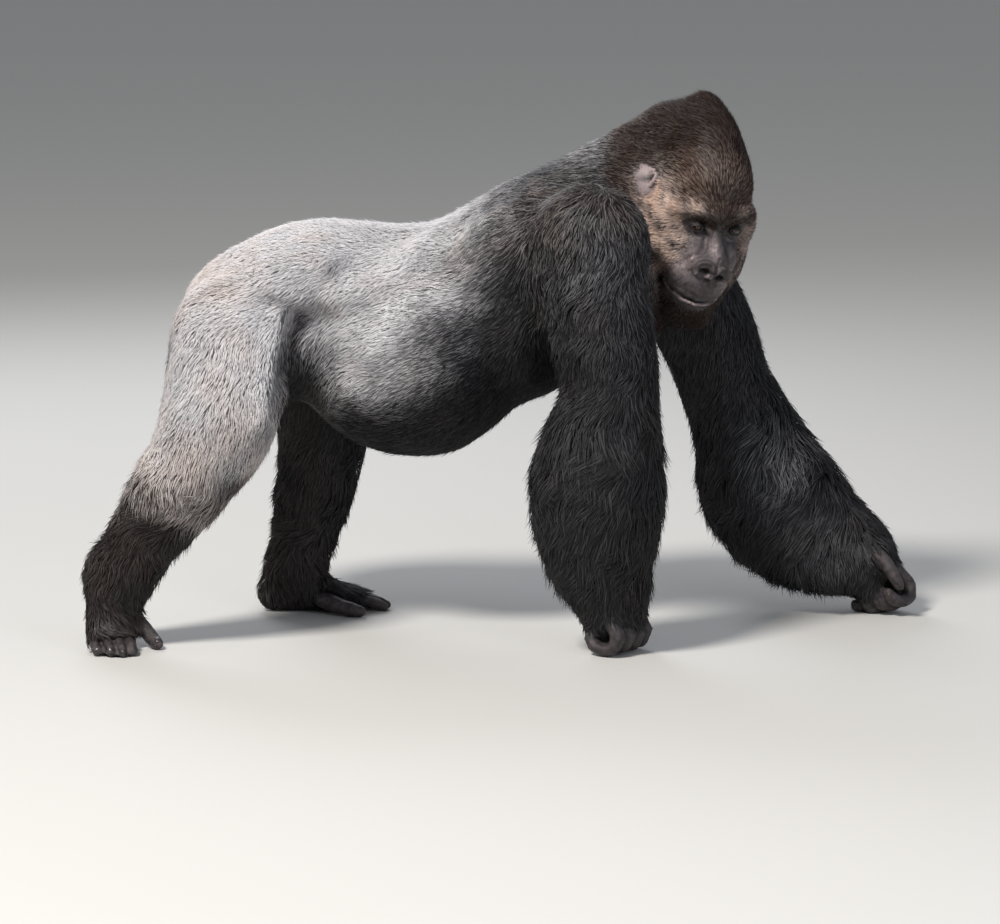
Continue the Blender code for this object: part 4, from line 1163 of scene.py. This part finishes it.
# %% [markdown]
# ## The lie of the coat
#
# Fur lies along the body, away from the face, back along the trunk and down the limbs. Each point of the even net
# holds the way its hair points. The ways are laid flat on the skin and averaged with their neighbours', so they flow
# round the body with no parting. On the head they run away from the middle of the face.

# %% Which way the hair lies
net_local = to_head(net_points)
off_face = unit(unit(net_local - np.array([0.13, 0, 0.015])) + np.array([-0.35, 0, -0.22]))
to_nape = smooth_step(np.linalg.norm(net_local - np.array([0.12, 0, -0.02]), axis=1), 0.09, 0.24)[:, None]
on_head_way = unit(off_face @ HEAD_AXES.T + to_nape * np.array([-1.1, 0, -0.35]))
ways = unit(coat[:, 4:7]) * (1 - head_mask)[:, None] + on_head_way * head_mask[:, None]


def laid_flat(directions, normals):
    return unit(directions - normals * (directions * normals).sum(1)[:, None])


ways = laid_flat(ways, net_normals)
for _ in range(4):
    ways = laid_flat(averaged(ways, skin_edges, 8), net_normals)
print("lie of the coat set on", len(ways), "points")

# %% [markdown]
# ## Plant and grow the tufts
#
# Hairs in real fur stick together in small locks, so a tuft, a pointed solid strand about two millimetres thick, is
# the smallest thing worth making. Roots are dealt over the skin's faces in proportion to area and density. From
# its root each tuft takes two steps along the lie, and each step is put back on the body's surface, so a tuft follows
# the form instead of leaving it. Neighbours are then gathered towards a leader, most on the shaggy forearms.

# %% Roots
TUFTS = 0.87             # all densities together, to keep the coat's triangles within bounds
smooth_skin.calc_loop_triangles()
triangles = array_of(smooth_skin.loop_triangles, "vertices", 3, np.int32)
corners = net_points[triangles]
areas = np.linalg.norm(np.cross(corners[:, 1] - corners[:, 0], corners[:, 2] - corners[:, 0]), axis=1) / 2
bare_face = face_amount(net_rest)
density = coat[:, 3] * smooth_step(coat[:, 0], 1.0, 6.0) * (1 - 0.97 * bare_face) * TUFTS
density *= smooth_step(net_points[:, 2], 0.004, 0.02)
expected = np.cumsum(areas * 1e4 * density[triangles].mean(1))
count = int(expected[-1])
owner_triangle = np.searchsorted(expected, np.arange(count) + 0.5)
u, v = rng.random((2, count))
u, v = np.where(u + v > 1, 1 - u, u), np.where(u + v > 1, 1 - v, v)
weights = np.stack([1 - u - v, u, v], 1)


def at_roots(values):
    return (values[triangles[owner_triangle]] * weights[:, :, None]).sum(1)


root = at_roots(net_points)
root_normal = unit(at_roots(net_normals))
root_way = at_roots(ways)
root_coat = at_roots(coat)
root_face = at_roots(np.column_stack([bare_face, head_mask]))
print(count, "tufts on", round(float(areas.sum()), 2), "square metres")

# %% [markdown]
# Lengths vary from tuft to tuft and from place to place: longer at the right elbow, on the crest and along the
# belly's lower edge, shorter on the face and the brow.

# %% Length and height of each tuft
length = root_coat[:, 0] * 0.001 * rng.uniform(0.72, 1.22, count) * (1 + 0.14 * wander(root, 0.07, 12))
length *= 1 + 0.45 * blob(root, (0.245, -0.30, 0.50), (0.07, 0.10, 0.09))        # elbow
length *= 1 + 0.55 * blob(root, (-0.10, -0.16, 0.40), (0.24, 0.20, 0.06))        # lower edge of the belly
length *= 1 - 0.45 * root_face[:, 0]
on_crest = blob(to_head(root), (-0.07, -0.05, 0.165), (0.09, 0.08, 0.05))
on_brow = blob(folded(to_head(root)), (0.105, 0.035, 0.040), (0.03, 0.05, 0.018))
length *= (1 + 0.7 * on_crest) * (1 - 0.45 * on_brow)
on_fringe = blob(root, (-0.10, -0.10, 0.40), (0.26, 0.20, 0.05))
depth = root_coat[:, 1] * 0.001
middle_height = depth * rng.uniform(0.62, 0.92, count)
shaggy = smooth_step(root_coat[:, 0], 26, 50)
strays = rng.random(count) < 0.14 + 0.10 * shaggy
tip_height = depth * rng.uniform(0.60, 1.05, count) * (1 + (0.55 + 0.45 * shaggy) * strays)
tip_height += 0.014 * on_crest * rng.random(count)
thickness = (0.00082 + 0.00026 * (1 - root_face[:, 1]) + 0.00030 * shaggy) * rng.uniform(0.8, 1.2, count)
angle = (0.16 + 0.44 * shaggy) * wander(root, 0.075, 21) + (0.07 + 0.13 * shaggy) * wander(root, 0.018, 22)
angle += rng.normal(0, 0.09, count)
sideways = np.cross(root_normal, root_way)
root_way = unit(root_way * np.cos(angle)[:, None] + sideways * np.sin(angle)[:, None])

# %% [markdown]
# The two steps of every tuft. Long hair also hangs: its outer half leaves the body a little and bends down.

# %% Grow
def on_body(places):
    """Nearest points of the even net, with the surface's directions there."""
    found = [net_tree.find_nearest(place)[:2] for place in places.tolist()]
    return np.array([place for place, _ in found]), np.array([normal for _, normal in found])


HANG = 0.22              # drop of a free tip, for each step out
step = (length / 2)[:, None]
middle, middle_normal = on_body(root + root_way * step)
middle_way = laid_flat(root_way, middle_normal)
tip, tip_normal = on_body(middle + middle_way * step)
free = np.clip(0.60 * smooth_step(root_coat[:, 0], 34, 60) + 0.40 * on_fringe, 0, 1)[:, None]
hanging = middle + middle_way * step + np.array([0, 0, -HANG]) * step
tip = tip + tip_normal * tip_height[:, None]
tip = tip * (1 - free) + (hanging + middle_normal * tip_height[:, None]) * free
middle = middle + middle_normal * middle_height[:, None]
root = root - root_normal * 0.0015

# %% [markdown]
# Gathering: one tuft in about twenty is a leader, and the others near it lean towards its middle and tip. That parts
# the coat into locks, with shade between them.

# %% Gather into locks
TUFTS_IN_A_LOCK = 22
LOCK_REACH = 0.045
leaders = rng.permutation(count)[: count // TUFTS_IN_A_LOCK]
leader_finder = KDTree(len(leaders))
for k, place in enumerate(root[leaders].tolist()):
    leader_finder.insert(place, k)
leader_finder.balance()
leader = leaders[[leader_finder.find(place)[1] for place in root.tolist()]]
gather = (root_coat[:, 2] * rng.uniform(0.5, 1.0, count))[:, None]
reach = np.linalg.norm(root[leader] - root, axis=1)[:, None]
gather = gather * (reach < LOCK_REACH)
shared_tip = root[leader] + unit(tip[leader] - root[leader]) * np.linalg.norm(tip - root, axis=1)[:, None]
tip = tip + 0.72 * gather * (shared_tip - tip)
middle = middle + 0.30 * gather * (middle[leader] - middle)
tip[:, 2] = np.maximum(tip[:, 2], 0.0015)
middle[:, 2] = np.maximum(middle[:, 2], 0.0020)
print("longest tuft", round(float(np.linalg.norm(tip - root, axis=1).max() * 1000)), "mm")

# %% [markdown]
# ## Build the coat's pieces
#
# A tuft is a closed strand: a point at the root, one or two rings of three, and a point at the tip. A short one takes
# six triangles and a long one twelve. Their shading leans on the skin's own direction, as light in real fur does,
# which keeps the coat soft. Each piece also gets an unwrap made from its own form, the way round its long axis
# against the way along it, in which every tuft is a patch of one size at its root's place.

# %% One piece of coat
PATCH = 0.003            # width of a tuft's patch on the unwrap
RING = np.radians([90, 210, 330])


def strands(chosen, rings):
    """Points, triangles, directions and shares along of the chosen tufts."""
    a, b, c = root[chosen], middle[chosen], tip[chosen]
    run = unit(c - a)
    up = laid_flat(root_normal[chosen], run)
    side = np.cross(run, up)
    columns, facings, alongs = [a], [root_normal[chosen]], [0.0]
    for t, width in rings:
        centre = a * (1 - t) * (1 - 2 * t) + b * 4 * t * (1 - t) + c * t * (2 * t - 1)
        for turn in RING:
            out = math.cos(turn) * side + 0.6 * math.sin(turn) * up
            columns.append(centre + out * (thickness[chosen] * width)[:, None])
            facings.append(unit(root_normal[chosen] + 0.45 * out))
            alongs.append(t)
    columns.append(c)
    facings.append(unit(tip_normal[chosen] + 0.2 * run))
    alongs.append(1.0)
    per = len(columns)
    faces = [(0, 1 + k, 1 + (k + 1) % 3) for k in range(3)]
    for r in range(len(rings) - 1):
        for k in range(3):
            p, q = 1 + 3 * r + k, 1 + 3 * r + (k + 1) % 3
            faces += [(q, p, p + 3), (q, p + 3, q + 3)]
    last = per - 4
    faces += [(per - 1, last + (k + 1) % 3, last + k) for k in range(3)]
    points = np.stack(columns, 1).reshape(-1, 3)
    facing = np.stack(facings, 1).reshape(-1, 3)
    count_here = len(chosen)
    indices = (np.arange(count_here)[:, None, None] * per + np.array(faces)[None]).reshape(-1, 3)
    return points, indices, facing, np.tile(alongs, count_here), per


def unwrapped(places, per, alongs):
    """Place of each tuft's patch: how far round and how far along the piece's own long axis."""
    middle_place = places.mean(0)
    _, axes = np.linalg.eigh(np.cov((places - middle_place).T))
    own = (places - middle_place) @ axes
    around = np.arctan2(own[:, 0], own[:, 1]) / (2 * math.pi) + 0.5
    along = (own[:, 2] - own[:, 2].min()) / np.ptp(own[:, 2])
    base = np.stack([0.01 + 0.98 * around, 0.01 + 0.98 * along], 1)
    spread = np.zeros((per, 2))
    spread[:, 1] = (np.array(alongs[:per]) - 0.5) * PATCH
    for k in range(1, per - 1):
        spread[k, 0] = (-0.5, 0.0, 0.5)[(k - 1) % 3] * PATCH
        spread[k, 1] += (0, 0.12, 0)[(k - 1) % 3] * PATCH
    return (base[:, None] + spread[None]).reshape(-1, 2)


SHORT_RINGS = [(0.42, 1.0)]
LONG_RINGS = [(0.28, 1.0), (0.68, 0.72)]
tone_at_root = markings(root, root_face[:, 1])
share = tone_at_root[:, 0]
salt_and_pepper = 0.60 * np.sqrt(share * (1 - share))
tone_at_root[:, 0] = np.clip(share + salt_and_pepper * rng.uniform(-1, 1, count), 0, 1)
own_random = rng.random(count)


def coat_piece(name, finish, chosen, rings):
    points, indices, facing, alongs, per = strands(chosen, rings)
    mesh = bpy.data.meshes.new(name)
    mesh.vertices.add(len(points))
    mesh.loops.add(indices.size)
    mesh.polygons.add(len(indices))
    mesh.vertices.foreach_set("co", points.astype(np.float32).ravel())
    mesh.loops.foreach_set("vertex_index", indices.astype(np.int32).ravel())
    mesh.polygons.foreach_set("loop_start", np.arange(0, indices.size, 3, dtype=np.int32))
    mesh.update(calc_edges=True)
    patch = unwrapped(root[chosen], per, alongs)
    mesh.uv_layers.new(name="OFBake").data.foreach_set("uv", patch[indices.ravel()].astype(np.float32).ravel())
    set_tone(mesh, np.column_stack([np.repeat(tone_at_root[chosen], per, 0), alongs,
                                    np.repeat(own_random[chosen], per)]))
    mesh.shade_smooth()
    mesh.normals_split_custom_set_from_vertices(unit(facing).astype(np.float32))
    mesh.materials.append(finish)
    made = show(name, mesh)
    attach(made, "root")
    print(name, len(chosen), "tufts,", len(indices), "triangles")


owner_at_root = point_owner[triangles[owner_triangle][np.arange(count), weights.argmax(1)]]
COAT_PIECES = [("head", ("head", "jaw", "ear"), "coat_brown", HAIR_FACE, SHORT_RINGS),
               ("neck", ("neck",), "coat_black", HAIR_SHORT, SHORT_RINGS),
               ("chest", ("chest",), "coat_black", HAIR_SHORT, SHORT_RINGS),
               ("belly", ("belly",), "coat_silver", HAIR_SHORT, SHORT_RINGS),
               ("pelvis", ("pelvis",), "coat_silver", HAIR_SHORT, SHORT_RINGS)]
for side in ("right", "left"):
    COAT_PIECES += [("upper_arm_" + side, ("upper_arm_" + side,), "coat_black", HAIR_LONG, LONG_RINGS),
                    ("forearm_" + side, ("forearm_" + side, "hand_" + side), "coat_black", HAIR_LONG, LONG_RINGS),
                    ("thigh_" + side, ("thigh_" + side,), "coat_silver", HAIR_SHORT, SHORT_RINGS),
                    ("shin_" + side, ("shin_" + side, "foot_" + side), "coat_black", HAIR_LONG, LONG_RINGS)]
for name, owners, slot_name, finish, rings in COAT_PIECES:
    names = [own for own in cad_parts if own.startswith(owners)]
    chosen = np.flatnonzero(np.isin(owner_at_root, names))
    coat_piece("coat_" + name, finish, chosen, rings)

# %% [markdown]
# ## Light, floor and camera
#
# A plain pale floor and soft light from large lamps show the coat without hard spots. The camera looks at the
# animal's right side from far off with a long lens, slightly from above.

# %% Set the stage
def lamp(name, place, target, size, power, colour):
    light = bpy.data.lights.new(name, "AREA")
    light.shape = "DISK"
    light.size = size
    light.energy = power
    light.color = linear(colour)[:3]
    made = bpy.data.objects.new(name, light)
    made.location = place
    made.rotation_euler = (Vector(target) - Vector(place)).to_track_quat("-Z", "Y").to_euler()
    bpy.context.scene.collection.objects.link(made)


lamp("key", (-3.0, -4.4, 6.4), (0, 0, 0.6), 1.7, 930, "#fffaf4")
lamp("fill", (3.0, -4.2, 2.2), (0, 0, 0.5), 3.0, 60, "#eaf0ff")
lamp("back", (-1.5, 4.0, 3.6), (0, 0, 0.8), 2.5, 120, "#f2f6ff")

world = bpy.data.worlds.new("soft sky")
world.use_nodes = True
bpy.context.scene.world = world
world.node_tree.nodes["Background"].inputs["Color"].default_value = linear("#dfe3e8")
world.node_tree.nodes["Background"].inputs["Strength"].default_value = 0.50

floor_mesh = bpy.data.meshes.new("floor")
floor_mesh.from_pydata([(-60, -20, 0), (60, -20, 0), (60, 90, 0), (-60, 90, 0)], [], [(0, 1, 2, 3)])
floor_finish = new_material("matt painted floor, pale grey")
finish_with(floor_finish, add(floor_finish, "ShaderNodeBsdfPrincipled", None,
                              {"Base Color": linear("#b4b3b0"), "Roughness": 0.9}))
floor_mesh.materials.append(floor_finish)
floor = show("floor", floor_mesh)

ELEVATION = math.radians(9)
DISTANCE = 9.0
aim = Vector((-0.0147, 0.0126, 0.3465))
camera_data = bpy.data.cameras.new("camera")
camera_data.lens = 158.05
camera = bpy.data.objects.new("camera", camera_data)
camera.location = aim + DISTANCE * Vector((0, -math.cos(ELEVATION), math.sin(ELEVATION)))
camera.rotation_euler = (aim - camera.location).to_track_quat("-Z", "Y").to_euler()
bpy.context.scene.collection.objects.link(camera)
bpy.context.scene.camera = camera
bpy.context.scene.view_settings.view_transform = "Standard"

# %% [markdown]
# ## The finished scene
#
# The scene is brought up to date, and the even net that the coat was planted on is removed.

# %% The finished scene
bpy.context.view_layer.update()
bpy.data.meshes.remove(smooth_skin)
